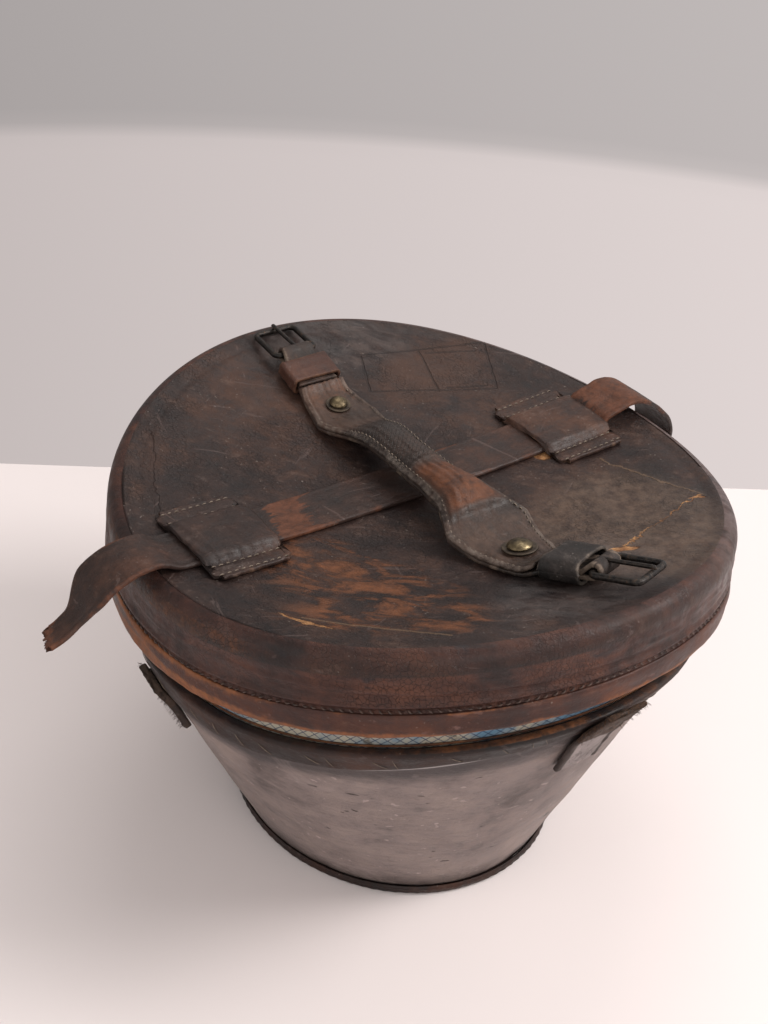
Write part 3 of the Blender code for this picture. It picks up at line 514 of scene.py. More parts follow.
LID_LOW, LID_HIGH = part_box("lid_rim_band")
LID_X, LID_Y = (LID_LOW.x + LID_HIGH.x) / 2, (LID_LOW.y + LID_HIGH.y) / 2
LID_A, LID_B = (LID_HIGH.x - LID_LOW.x) / 2, (LID_HIGH.y - LID_LOW.y) / 2
LID_TILT_X, LID_TILT_Y = 0.0385, 0.0160
LID_EDGE_Z, LID_TOP_Z = 0.1827, 0.2282
LID_SADDLE, LID_DISH, LID_SHOULDER = 0.0131, 0.0175, 0.0108
DISH_REACH = 1 - LID_SHOULDER / LID_A
COLLAR_INSET, COLLAR_CLOTH, COLLAR_BOARD, GAP = 0.0060, 0.0010, 0.0025, 0.0003
CEILING = 0.0095  # from the lid's top to the underside of its lining


def lid_lift(x, y):
    """How far the saddle, u squared less v squared, and the tilt raise the lid at a point of its plan."""
    u, v = (x - LID_X) / LID_A, (y - LID_Y) / LID_B
    return LID_SADDLE * (u * u - v * v) + LID_TILT_X * (x - LID_X) + LID_TILT_Y * (y - LID_Y)


def lid_height(x, y):
    """The lid's top: a dish, deepest in the middle, on the saddle."""
    reach = ((x - LID_X) / LID_A) ** 2 + ((y - LID_Y) / LID_B) ** 2
    return LID_TOP_Z - LID_DISH * np.clip(1 - reach / DISH_REACH**2, 0, None) + lid_lift(x, y)


def check_cloth(name, dirt):
    """Cloth with a bias check: two sets of thin dark lines that cross, over cream with faded blue."""
    made = Finish(name, Roughness=0.95, Sheen_Weight=0.25, Sheen_Roughness=0.5)
    x, y, z = (made.part(axis) for axis in "XYZ")
    around = made.node("ShaderNodeMath", {"operation": "ARCTAN2"}, {0: y * 1.07, 1: x}) * 0.157
    rise = z - (x * x - y * y) * 0.6
    # On a level floor or ceiling the cloth is read from above.
    up = made.part("Z", at=made.node("ShaderNodeNewGeometry", out="Normal")).size().step(0.55, 0.75)
    first = around * (1 - up) + x * up
    second = rise * (1 - up) + y * up
    wobble = (made.noise(90, 3) - 0.5) * 0.0016
    colour = made.mix(made.noise(34, 4).step(0.42, 0.6), (0.46, 0.42, 0.33), (0.13, 0.25, 0.36))
    weave = made.noise(1500, 1)
    pitch, ink = 0.0046, (0.02, 0.04, 0.09)
    for lean in (0.75, -0.75):
        run = (first * lean + second + wobble) / pitch
        line = (made.node("ShaderNodeMath", {"operation": "FRACT"}, {0: run}) - 0.5).size().step(0.10, 0.045)
        colour = made.mix(line * (weave.step(0.25, 0.55) * 0.35 + 0.55), colour, ink)
    stain = made.noise(55, 5, 0.65).step(0.58, 0.66)
    colour = made.mix(stain * dirt, colour, (0.06, 0.045, 0.03))
    made.set(Base_Color=colour, Normal=made.bump(weave + made.noise(45, 4) * 2.5, 0.0005, 0.7))
    return made


collar_check = check_cloth("collar_check", 0.75)
turn = np.linspace(0, TAU, 320, endpoint=False)[None]
collar_low = EDGE_T - 0.015 / BAND_Z


def collar_side(inset, rise, drop):
    """One side of the collar: rise 0 is its foot in the mouth, 0.4 the mouth and 1 its top under the lid."""
    foot, mouth = wall_point(collar_low, -inset, turn), wall_point(EDGE_T, -inset, turn)
    top = wall_point(EDGE_T, 0.0015 - inset, turn)
    top[..., 2] = lid_height(top[..., 0], top[..., 1]) - CEILING - 0.0006 - drop
    low = np.clip(rise / 0.4, 0, 1)[:, None, None]
    high = np.clip((rise - 0.4) / 0.6, 0, 1)[:, None, None]
    side = foot + (mouth - foot) * low + (top - mouth) * high
    puckers = 0.00035 * ripple(turn * 4, rise[:, None] * 3, 31) * np.sin(math.pi * rise[:, None])
    side[..., :2] *= 1 + (puckers / 0.16)[..., None]
    return side


rise = np.linspace(0, 1, 40)
cloth_in = COLLAR_INSET + COLLAR_CLOTH + COLLAR_BOARD + 2 * GAP
collar = np.concatenate(
    [
        collar_side(COLLAR_INSET, rise, 0),
        collar_side(cloth_in + COLLAR_CLOTH, rise[::-1], 0),
        collar_side(cloth_in, rise[::8], COLLAR_CLOTH),
        collar_side(COLLAR_INSET + COLLAR_CLOTH, rise[::-8], COLLAR_CLOTH),
    ]
)
collar_piece = skin("collar_cloth_check", collar, collar_check, "case", "collar_cloth", slot="check_cloth",
                    closed_rows=True)

# Piping: the brown leather edge of the collar cloth, on the binding.
piping_leather = leather("piping_leather", (0.03, 0.013, 0.008), (0.09, 0.036, 0.018), (0.20, 0.085, 0.035),
                         BARE)
ring = np.linspace(0, TAU, 10, endpoint=False)[:, None]
lie = wall_point(EDGE_T, -COLLAR_INSET + 0.0007 + 0.0006 * np.cos(ring), turn)
lie[..., 2] += 0.0014 + 0.0007 * np.sin(ring) + 0.0004 * ripple(turn * 2, 0.0, 33)
skin("collar_piping", lie, piping_leather, "case", slot="edge_leather", closed_rows=True,
     fields={"wear": 0.4})

# Linings and the parts that only show when the case is open -------------------------------------------------
# The well is lined in the same check, over a padded floor. Boards stiffen the lid and the collar.

lining_check = check_cloth("lining_check", 0.3)
turn = np.linspace(0, TAU, 240, endpoint=False)[None]
lining_levels = np.linspace(WALL_FOOT + 0.004, 0.958, 50)[:, None]
sag = 0.0005 * np.abs(ripple(turn * 2, lining_levels * 5, 41)) * np.sin(math.pi * lining_levels)
lining = np.concatenate(
    [wall_point(lining_levels, -WALL - 0.0006, turn),
     wall_point(lining_levels[::-1], -WALL - 0.0018 - sag[::-1], turn)]
)
lining_piece = skin("well_lining", lining, lining_check, "case", "body_lining", slot="check_cloth",
                    closed_rows=True)

PAD_LOW, PAD_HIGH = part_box("base_pad")
ring_share = np.concatenate([np.linspace(0.02, 1, 40), np.linspace(1, 0.02, 12)])[:, None]
over = np.concatenate([np.ones(40), np.zeros(12)])[:, None]
quilted = 1 - 0.12 * np.cos(4 * turn) * ring_share**2
crown = 0.0006 + 0.94 * np.sqrt(np.clip(1 - ring_share**6, 0, 1)) * quilted
pad_high = (PAD_HIGH.z - PAD_LOW.z) * np.clip(crown, 0.02, 1)
pad_z = PAD_LOW.z + 0.0004 + over * pad_high * 0.95
pad = np.stack([PAD_HIGH.x * ring_share * np.cos(turn), PAD_HIGH.y * ring_share * np.sin(turn), pad_z], -1)
pad_piece = skin("well_floor_pad", pad, lining_check, "case", "base_pad", slot="check_cloth")

board = Finish("pasteboard", Roughness=0.9)
board_tone = board.noise(220, 5)
board.set(Base_Color=board.ramp(board_tone, (0.35, (0.20, 0.14, 0.08)), (0.65, (0.34, 0.26, 0.16))))
board.set(Normal=board.bump(board_tone, 0.0006))
for node in ("collar_board", "lid_top_board", "lid_side_board", "handle_core"):
    repaint(node, board)

# Lid: a dished leather top, blocked over a round shoulder into a straight side ------------------------------
# The top is dark from polish, with worn orange streaks, a cracked patch and blank tooled frames.


def lid_marks(made, colour, height):
    """What has happened to the lid, placed by its plan: x along the handle, y along the strap."""
    wave = made.noise(26, 5, 0.6)
    fuzz = made.noise(160, 5, 0.65)
    x = made.part("X") - LID_X + (wave - 0.5) * 0.022 + (fuzz - 0.5) * 0.006
    other_wave = made.noise(23, 5, 0.6, at=made.stretched((1, 1, 1), turn=1.3))
    y = made.part("Y") - LID_Y + (other_wave - 0.5) * 0.022
    true_x, true_y = made.part("X") - LID_X, made.part("Y") - LID_Y

    def spot(px, py, half_x, half_y, turn=0.0, soft=0.35, warped=True):
        """1 inside an oval round (px, py), and 0 outside it."""
        dx, dy = (x if warped else true_x) - px, (y if warped else true_y) - py
        along = (dx * math.cos(turn) + dy * math.sin(turn)) / half_x
        beside = (dy * math.cos(turn) - dx * math.sin(turn)) / half_y
        return (along * along + beside * beside).step(1 + soft, 1 - soft)

    def line(ax, ay, bx, by, half, warp=0.0):
        """1 on the segment from a to b, and 0 past half a width from it."""
        long = math.hypot(bx - ax, by - ay)
        ux, uy = (bx - ax) / long, (by - ay) / long
        dx = true_x - ax + (wave - 0.5) * warp + (fuzz - 0.5) * warp * 0.5
        dy = true_y - ay + (fuzz - 0.5) * warp * 0.5
        past = (dx * ux + dy * uy - long / 2).size() - long / 2
        off = (dy * ux - dx * uy).size()
        return off.most(past).step(half * 1.3, half * 0.5)

    streak_at = made.stretched((1.0, 2.6, 2.6), turn=math.radians(39))
    streaks = made.noise(38, 7, 0.66, at=streak_at, twist=0.6)
    torn = spot(0.060, -0.078, 0.062, 0.030, math.radians(24)).most(spot(0.102, -0.082, 0.052, 0.020, 0.9))
    torn = torn * streaks.step(0.43, 0.58)
    tint = streaks * 0.7 + fuzz * 0.3
    streak_colour = made.ramp(tint, (0.44, (0.030, 0.013, 0.008)), (0.64, (0.17, 0.060, 0.023)))
    colour = made.mix(torn * 0.80, colour, streak_colour)
    rubbed = spot(-0.118, -0.040, 0.050, 0.040, 0.3).most(spot(-0.105, 0.070, 0.060, 0.046, 0.2))
    rubbed = rubbed.most(spot(0.046, -0.118, 0.050, 0.014, -0.1)) * streaks.step(0.42, 0.66)
    colour = made.mix(rubbed * 0.5, colour, (0.060, 0.029, 0.019))
    pale = spot(0.092, 0.070, 0.064, 0.050, -0.5, 0.5)
    pale_colour = made.ramp(fuzz, (0.35, (0.055, 0.034, 0.025)), (0.62, (0.135, 0.088, 0.062)))
    colour = made.mix(pale * 0.62, colour, pale_colour)
    dust = spot(0.128, 0.010, 0.030, 0.060, 0.4, 0.6).most(spot(-0.148, 0.030, 0.025, 0.050, -0.2, 0.6))
    colour = made.mix(dust * streaks.step(0.35, 0.6) * 0.25, colour, (0.13, 0.115, 0.11))
    # A split runs across the pale patch, and the flesh side shows in it.
    split = line(0.111, 0.049, 0.088, 0.125, 0.0006, 0.016)
    gash = split * streaks.step(0.30, 0.5)
    mouth = spot(0.111, 0.052, 0.0030, 0.0085, -0.35, 0.3).most(spot(0.090, 0.121, 0.0018, 0.005, -0.3, 0.3))
    patch = spot(0.000, 0.089, 0.0050, 0.0085, 0.1, 0.3).most(spot(0.085, -0.119, 0.014, 0.0013, 0.35, 0.4))
    bare = gash.most(mouth).most(patch * 0.85)
    rim_of = line(0.020, 0.110, 0.088, 0.127, 0.0008, 0.02)
    rim_of = rim_of.most(line(0.137, -0.072, 0.079, -0.118, 0.0009, 0.012))
    colour = made.mix(rim_of * 0.5, colour, (0.16, 0.10, 0.06))
    flesh = made.ramp(fuzz, (0.38, (0.15, 0.060, 0.022)), (0.62, (0.40, 0.205, 0.085)))
    colour = made.mix(bare, colour, flesh)
    # Two tooled frames, left blank, beside the handle's rear end.
    frames = line(-0.131, 0.040, -0.113, 0.120, 0.0007, 0.003)
    for ax, ay, bx, by in (
        (-0.113, 0.120, -0.071, 0.102), (-0.071, 0.102, -0.100, 0.029), (-0.100, 0.029, -0.131, 0.040),
        (-0.123, 0.077, -0.084, 0.068), (-0.118, 0.080, -0.108, 0.110), (-0.084, 0.075, -0.076, 0.098),
    ):
        frames = frames.most(line(ax, ay, bx, by, 0.0007, 0.003))
    inside = spot(-0.101, 0.073, 0.022, 0.036, 0.25, 0.4, warped=False)
    colour = made.mix(inside * 0.5, colour, (0.062, 0.032, 0.022))
    colour = made.mix(frames * 0.45, colour, (0.012, 0.008, 0.007))
    # Long light scratches, and the fine cracks of old polish.
    for seed, turned, stretch in ((31.0, 0.5, 16.0), (23.0, -0.7, 20.0), (37.0, 1.3, 24.0)):
        nick = made.noise(seed, 3, 0.6, at=made.stretched((1.0, stretch, 1.0), turn=turned)).step(0.715, 0.75)
        colour = made.mix(nick * 0.35, colour, (0.14, 0.11, 0.095))
    side = made.attribute("side")
    brown = made.ramp(wave * 0.5 + streaks * 0.5, (0.40, (0.018, 0.010, 0.009)),
                      (0.50, (0.050, 0.021, 0.016)), (0.64, (0.105, 0.040, 0.024)))
    colour = made.mix(side * 0.85, colour, brown)
    bloomed = side * (true_y + (wave - 0.5) * 0.05).step(0.045, 0.135)
    bloomed = bloomed * (streaks * 0.5 + fuzz * 0.5).step(0.36, 0.60)
    colour = made.mix(bloomed * 0.65, colour, (0.150, 0.118, 0.115))
    smudge = made.noise(30, 5, 0.6, at=made.stretched((1, 1, 2.5))).step(0.60, 0.68) * side
    colour = made.mix(smudge * 0.7, colour, (0.016, 0.014, 0.016))
    crazing = made.cells(330, "DISTANCE_TO_EDGE", at=made.stretched((1, 1.8, 1), turn=0.4)).step(0.06, 0.0)
    crazed = crazing * wave.step(0.45, 0.62)
    crease = spot(-0.062, -0.128, 0.060, 0.0016, -0.32, 0.4)
    colour = made.mix(crazed * 0.5, colour, (0.012, 0.010, 0.009))
    height = height - bare * 0.55 + rim_of * 0.25 - frames * 0.35 - crazed * 0.18 + torn * 0.12 - crease * 0.4
    return colour, height


LID_COLOURS = {"dark": (0.0095, 0.0065, 0.0065), "middle": (0.027, 0.0155, 0.0130),
               "warm": (0.065, 0.031, 0.020)}
lid_leather = leather("lid_leather", **LID_COLOURS, bare=BARE, rough=(0.32, 0.60), along=(1, 3, 1), turn=0.7,
                      dusty=0.55, marks=lid_marks)
RIM_HIGH = 0.0134
RIM_INSET = 0.0018


def lid_side(inset, z, angle):
    """A ring of the lid's side, inset from the rim and level with z before the saddle lifts it."""
    x, y = LID_X + (LID_A - inset) * np.cos(angle), LID_Y + (LID_B - inset) * np.sin(angle)
    return np.stack(np.broadcast_arrays(x, y, z + lid_lift(x, y)), -1)


def lid_top(reach, drop, angle):
    x, y = LID_X + LID_A * reach * np.cos(angle), LID_Y + LID_B * reach * np.sin(angle)
    return np.stack(np.broadcast_arrays(x, y, lid_height(x, y) - drop), -1)


turn = np.linspace(0, TAU, 400, endpoint=False)[None]
reach = np.linspace(0.012, DISH_REACH, 110)[:, None]
top = lid_top(reach, 0, turn)
# The edge of the stiffening board shows through as a low step, and the middle has sunk unevenly.
step_in = 0.895 + 0.003 * ripple(turn, 0.0, 51)
show = 0.65 + 0.35 * np.cos(turn - math.radians(205))
top[..., 2] -= 0.0007 * show * np.exp(-(((reach - step_in) / 0.012) ** 2))
top[..., 2] += 0.0005 * ripple(turn, reach * 5, 52) * smooth(0, 0.4, reach) * (1 - smooth(0.9, 0.94, reach))
bend = np.radians(np.linspace(87, 0, 16))[:, None]
inset = RIM_INSET + (LID_SHOULDER - RIM_INSET) * (1 - np.cos(bend))
shoulder = lid_side(inset, LID_TOP_Z - LID_SHOULDER * (1 - np.sin(bend)), turn)
GROOVE_Z = LID_EDGE_Z + RIM_HIGH
down = np.linspace(LID_TOP_Z - LID_SHOULDER - 0.0012, GROOVE_Z - 0.001, 26)[:, None]
slack = 0.0006 * ripple(turn, down * 90, 53) + 0.0004 * ripple(turn * 4, down * 200, 54)
swell = np.sin(math.pi * (down - GROOVE_Z) / (down[0] - GROOVE_Z))
# The crease pressed above the stitching, and the groove that the stitching lies in.
ridge = 0.0009 * np.exp(-(((down - GROOVE_Z - 0.0035) / 0.0012) ** 2))
groove = 0.0008 * np.exp(-(((down - GROOVE_Z - 0.0008) / 0.0009) ** 2))
side = lid_side(RIM_INSET - slack * swell - ridge + groove, down, turn)
under = [lid_side(RIM_INSET, GROOVE_Z - 0.004, turn), lid_side(RIM_INSET, LID_EDGE_Z, turn),
         lid_side(RIM_INSET + 0.003, LID_EDGE_Z, turn),
         lid_side(RIM_INSET + 0.003, LID_TOP_Z - LID_SHOULDER, turn),
         lid_top(np.array([[0.93]]), 0.003, turn), lid_top(np.array([[0.6]]), 0.003, turn),
         lid_top(np.array([[0.3]]), 0.003, turn), lid_top(np.array([[0.02]]), 0.003, turn)]
lid = np.concatenate([top, shoulder, side, *under])
low_share = np.concatenate([np.zeros(len(top) + 8), np.full(8, 0.3), np.linspace(0.0, 0.45, 26) ** 2,
                            np.zeros(8)])
side_share = np.concatenate([np.zeros(len(top)), np.linspace(0, 1, 16)[::-1] ** 0.7, np.ones(26),
                             np.zeros(8)])
left = 0.5 - 0.5 * np.sin(turn)  # the left side is the more rubbed
skin("lid_cover", lid, lid_leather, "lid", "lid_shell", slot="lid_leather",
     fields={"wear": low_share[:, None] * (0.4 + 0.8 * left) * (0.8 + 0.5 * ripple(turn * 2, 0.0, 55)),
             "side": side_share[:, None] + 0 * turn})

# Rim band: a second thickness of hide round the lid's lower edge, sewn through along its top ----------------
# Handling has rubbed it to a reddish orange, most of all at its left end, and its lower edge is frayed.

band_leather = leather("band_leather", (0.018, 0.010, 0.009), (0.048, 0.020, 0.015), (0.105, 0.038, 0.021),
                       (0.27, 0.100, 0.040), rough=(0.36, 0.62), along=(1, 1, 7), dusty=0.5)
section = np.array(  # how far out from the shell, how far up from the band's lower edge, how rubbed
    [(0.0, 1.0, 0.10), (0.9, 0.985, 0.40), (1.35, 0.93, 0.30), (1.5, 0.80, 0.12), (1.45, 0.6, 0.10),
     (1.5, 0.4, 0.15),
     (1.5, 0.2, 0.30), (1.4, 0.05, 0.55), (1.0, -0.05, 0.75), (0.2, -0.11, 0.80), (-1.5, -0.11, 0.75),
     (-3.0, -0.10, 0.5), (-3.0, -0.03, 0.2), (0.0, -0.02, 0.0), (0.0, 0.5, 0.0)]
)
out, up, rubbed = (column[:, None] for column in section.T)
wander = 0.0004 * ripple(turn * 3, up, 61)
z = LID_EDGE_Z - 0.0003 + up * (RIM_HIGH - 0.0008) + (up > 0.4) * 0.0005 * ripple(turn, 0.0, 62, 14)
ragged = (up < 0.1) * (up > -0.2) * 0.0005 * ripple(turn * 11, out, 63, 12)
band = lid_side(RIM_INSET - 0.001 * out - wander * (out > 0.5), z + ragged, turn)
handled = rubbed * (0.55 + 0.65 * left) + 0.42 * left**16
skin("lid_band", band, band_leather, "lid", "lid_rim_band", slot="edge_leather", closed_rows=True,
     fields={"wear": handled * (0.85 + 0.4 * ripple(turn * 5, up * 2, 64))})

count = 236
angle = np.linspace(0, TAU, count, endpoint=False) + draw.uniform(-0.002, 0.002, count)
here = lid_side(RIM_INSET - 0.0004, GROOVE_Z + 0.0001 + 0.0003 * np.sin(angle * 7), angle)
ahead = unit(lid_side(RIM_INSET - 0.0004, GROOVE_Z, angle + 0.002) - here)
outward = unit(np.stack([np.cos(angle) / LID_A, np.sin(angle) / LID_B, 0 * angle], -1))
dark_thread = Finish("dark_thread", Roughness=0.6)
twist = dark_thread.noise(500, 3)
dark_thread.set(Base_Color=dark_thread.ramp(twist, (0.3, (0.02, 0.012, 0.01)), (0.7, (0.09, 0.05, 0.035))))
stitches("rim_stitches", here, ahead, outward, 0.0031, 0.00042, "lid", dark_thread)

# Lid lining: check cloth over the boards inside the lid
turn = np.linspace(0, TAU, 240, endpoint=False)[None]
cup = np.linspace(0.02, 0.93, 36)[:, None]
line_in = RIM_INSET + 0.003 + 0.0003 + 0.002 + 0.0003
drop = CEILING - 0.0012
lining_rows = [lid_top(cup, drop, turn), lid_side(line_in, LID_TOP_Z - drop - 0.004, turn),
               lid_side(line_in, LID_EDGE_Z + 0.0015, turn),
               lid_side(line_in + 0.0012, LID_EDGE_Z + 0.0015, turn),
               lid_side(line_in + 0.0012, LID_TOP_Z - drop - 0.004, turn),
               lid_top(cup[::-1] * 0.99, drop + 0.0012, turn)]
lid_lining = skin("lid_lining_check", np.concatenate(lining_rows), lining_check, "lid", "lid_lining",
                  slot="check_cloth")

# Cross strap: one long strap over the lid, through both loops and under the handle --------------------------
# The left end has torn to a narrow tongue, and the right end has set in a curl over the rim.


class Line:
    """A line across the lid's plan: s runs along it and t to its left. Its ends may turn."""

    def __init__(self, turn, shift, front_turn=0.0):
        self.s = np.linspace(-0.24, 0.24, 961)
        self.front_turn = front_turn
        bent = smooth(0.091, 0.107, self.s)
        self.angle = turn + bent * front_turn
        half = len(self.s) // 2
        step = self.s[1] - self.s[0]
        route = []
        for direction in (np.cos(self.angle), np.sin(self.angle)):
            summed = np.concatenate([[0], np.cumsum((direction[1:] + direction[:-1]) * step / 2)])
            route.append(summed - summed[half])
        self.x = LID_X - shift * math.sin(turn) + route[0]
        self.y = LID_Y + shift * math.cos(turn) + route[1]

    def plan(self, s, t):
        angle = np.interp(s, self.s, self.angle)
        x, y = np.interp(s, self.s, self.x), np.interp(s, self.s, self.y)
        return x - t * np.sin(angle), y + t * np.cos(angle)

    def over_lid(self, s, t, height):
        x, y = self.plan(s, t)
        return np.stack(np.broadcast_arrays(x, y, lid_height(x, y) + height), -1)

    def lean(self, s):
        left, right = (lid_height(*self.plan(s, t)) for t in (0.01, -0.01))
        return (left - right) / 0.02

    def on_path(self, s, t, z):
        """z is the height at t = 0, and the line across leans with the lid."""
        past = smooth(0.091, 0.107, np.abs(s)) * (self.front_turn != 0)
        lean = (1 - past) * self.lean(s) + past * self.lean(np.sign(s) * 0.1385)
        x, y = self.plan(s, t)
        return np.stack(np.broadcast_arrays(x, y, z + lean * t), -1)


def flat_oval(across=25):
    """A strap's section: shares along its face, its rounded corners' directions, and 1 above or -1 below."""
    face = np.linspace(-1, 1, across)
    turn = np.linspace(0, math.pi, 8)[1:-1]
    flat, round_off = np.zeros(across), np.ones(len(turn))
    share = np.concatenate([face, round_off, face[::-1], -round_off])
    out = np.concatenate([flat, np.sin(turn), flat, -np.sin(turn)])
    up = np.concatenate([flat + 1, np.cos(turn), flat - 1, -np.cos(turn)])
    return share, out, up, np.where(up > 0, 1.0, -1.0)


def ribbon(centre, across, half, middle, thickness, lift=0.0, back=0.0, columns=25):
    """The surface of a strap: a flat oval section carried along centre, with its width along across.

    A point is centre + t across + n normal. lift is added to its upper face, and back = (first, last) moves
    the two ends in by that many stations at each share of the width, so that a torn end is ragged.
    """
    count = len(centre)
    share, out, up, side = flat_oval(columns)
    ahead = unit(np.gradient(centre, axis=0))
    across = unit(across - ahead * np.sum(across * ahead, 1)[:, None])
    normal = np.cross(ahead, across)
    run = np.arange(count, dtype=float)[:, None] + 0 * share
    if not np.isscalar(back):
        run = back[0] + (count - 1 - back[1] - back[0]) * run / (count - 1)
    low = np.clip(run.astype(int), 0, count - 2)
    part = run - low

    def pick(values):
        values = np.broadcast_to(values, (count,)) if np.ndim(values) < 2 else values
        part_of = part[..., None] if values.ndim == 2 else part
        return values[low] * (1 - part_of) + values[low + 1] * part_of

    corner = np.minimum(0.42 * pick(thickness), 0.0012)
    t = pick(middle) + share * (pick(half) - corner) + out * corner
    n = side * (pick(thickness) / 2 - corner) + up * corner + lift * (side > 0)
    return pick(centre) + pick(across) * t[..., None] + pick(normal) * n[..., None], share


strap_leather = leather("strap_leather", (0.014, 0.0095, 0.0085), (0.032, 0.018, 0.0145),
                        (0.070, 0.032, 0.021),
                        (0.125, 0.046, 0.024), rough=(0.34, 0.62), along=(3, 1, 3), dusty=0.4)
REST_GAP, STRAP_THICK, STRAP_HALF = 0.0008, 0.0028, 0.0165
STRAP = Line(math.pi / 2 + 0.053, 0.0125)
on_lid = np.linspace(-0.146, 0.132, 90)
on_lid_z = STRAP.over_lid(on_lid, 0.0, REST_GAP + STRAP_THICK / 2)[:, 2]
torn_route = np.array(
    [(-0.2225, 0.1862), (-0.2110, 0.1905), (-0.2020, 0.1972), (-0.1955, 0.2052), (-0.1880, 0.2130),
     (-0.1780, 0.2182), (-0.1680, 0.2206), (-0.1580, 0.2202)]
)
curl_route = np.array(
    [(0.1420, 0.2262), (0.1520, 0.2288), (0.1620, 0.2272), (0.1720, 0.2215), (0.1810, 0.2140),
     (0.1875, 0.2060), (0.1905, 0.1975), (0.1890, 0.1895)]
)


def through(points, count):
    """A smooth curve through points: a Catmull-Rom spline, its slope at a point half the step across it."""
    padded = np.concatenate([2 * points[:1] - points[1:2], points, 2 * points[-1:] - points[-2:-1]])
    share = np.linspace(0, len(points) - 1 - 1e-9, count)
    i = share.astype(int)
    f = (share - i)[:, None]
    a, b, c, d = (padded[i + k] for k in range(4))
    return 0.5 * (2 * b + (c - a) * f + (2 * a - 5 * b + 4 * c - d) * f**2 + (3 * b - a - 3 * c + d) * f**3)


whole = np.concatenate([torn_route, np.stack([on_lid, on_lid_z], 1)[::9], curl_route])
route = through(whole, 330)
s, z = route.T
draped = (s > -0.146) & (s < 0.132)
z = np.where(draped, STRAP.over_lid(s, 0.0, REST_GAP + STRAP_THICK / 2)[:, 2], z)
torn = smooth(-0.190, -0.204, s)
tear = np.random.default_rng(71)
jags = np.interp(flat_oval()[0], np.linspace(-1.1, 1.1, 40), tear.uniform(0, 1, 40))
share = flat_oval()[0]
centre = STRAP.on_path(s, 0.0, z)
# Pressed lines 2.5 mm in from each edge, and the unevenness of an old strap
lift = 0.00022 * ripple(s[:, None] * 90, share * 3, 72)
lift = lift - 0.00035 * np.exp(-(((np.abs(share) - 0.84) / 0.035) ** 2))
points, share = ribbon(
    centre, STRAP.on_path(s, 0.001, z) - centre, STRAP_HALF - 0.0084 * torn, -0.0024 * torn, STRAP_THICK,
    lift, back=(1 + 6.5 * jags**2 + 2.2 * (share + 1), 0.5 + 0.8 * np.abs(share)),
)
edge = np.exp(-(((np.abs(share) - 1) / 0.10) ** 2))
curl_wear = 1.3 * smooth(0.124, 0.134, s) * smooth(0.176, 0.160, s)
end_wear = np.maximum(smooth(-0.208, -0.222, s), curl_wear)[:, None]
beside_loop = 0.62 * smooth(-0.094, -0.091, s)[:, None] * smooth(-0.064, -0.074, s)[:, None]
wear = 0.42 * edge * (0.8 + 0.5 * ripple(s[:, None] * 60, share, 73)) + 0.5 * end_wear + beside_loop
skin("cross_strap_leather", points, strap_leather, "lid", "cross_strap", slot="strap_leather",
     fields={"wear": wear})


def strap_stitches(name, line, s, t, height, long, every=0.0042, body="lid", thick=0.00033,
                   finish=thread):
    """A row of stitches along a line on the lid, t to its left, evenly spaced by the distance along it."""
    s, t, height = np.broadcast_arrays(s, t, height)
    points = line.over_lid(s, t, height)
    length = np.concatenate([[0], np.cumsum(np.linalg.norm(np.diff(points, axis=0), axis=1))])
    at = np.arange(every / 2, length[-1], every)
    here = np.stack([np.interp(at, length, points[:, i]) for i in range(3)], 1)
    ahead = np.stack([np.interp(at + every / 4, length, points[:, i]) for i in range(3)], 1)
    along = unit(ahead - here)
    up = np.tile([0.0, 0.0, 1.0], (len(at), 1))
    up = unit(up - along * np.sum(up * along, 1)[:, None])
    return stitches(name, here, along, up, long, thick, body, finish)


# Loops: two patches sewn to the lid on both sides of the strap, raised between into a tunnel ----------------
# Each has two rows of stitches beside its tunnel and a row round its outer edges, whitened with dust.

loop_leather = leather("loop_leather", (0.012, 0.0080, 0.0075), (0.034, 0.0185, 0.0145),
                       (0.085, 0.038, 0.023),
                       (0.15, 0.085, 0.055), rough=(0.32, 0.6), along=(3, 1, 3), dusty=0.8)
LOOP_LONG, LOOP_WIDE, LOOP_LEATHER, TUNNEL_CLEAR = 0.046, 0.069, 0.0024, 0.0018
tunnel = STRAP_HALF + TUNNEL_CLEAR
foot = tunnel + 0.0035
STITCH_ROWS = (foot + 0.0012, -foot - 0.0012, LOOP_WIDE / 2 - 0.003, 0.003 - LOOP_WIDE / 2)


def loop_height(t, s_share):
    """The patch's underside: flat beside the strap, and raised over it, a little higher in the middle."""
    raised = STRAP_THICK + TUNNEL_CLEAR - GAP + 0.0006 * np.cos(t / tunnel * 1.3)
    sagging = 1 - 0.10 * np.cos(math.pi * s_share) ** 2
    return REST_GAP + raised * sagging * smooth(foot, tunnel - 0.001, np.abs(t))


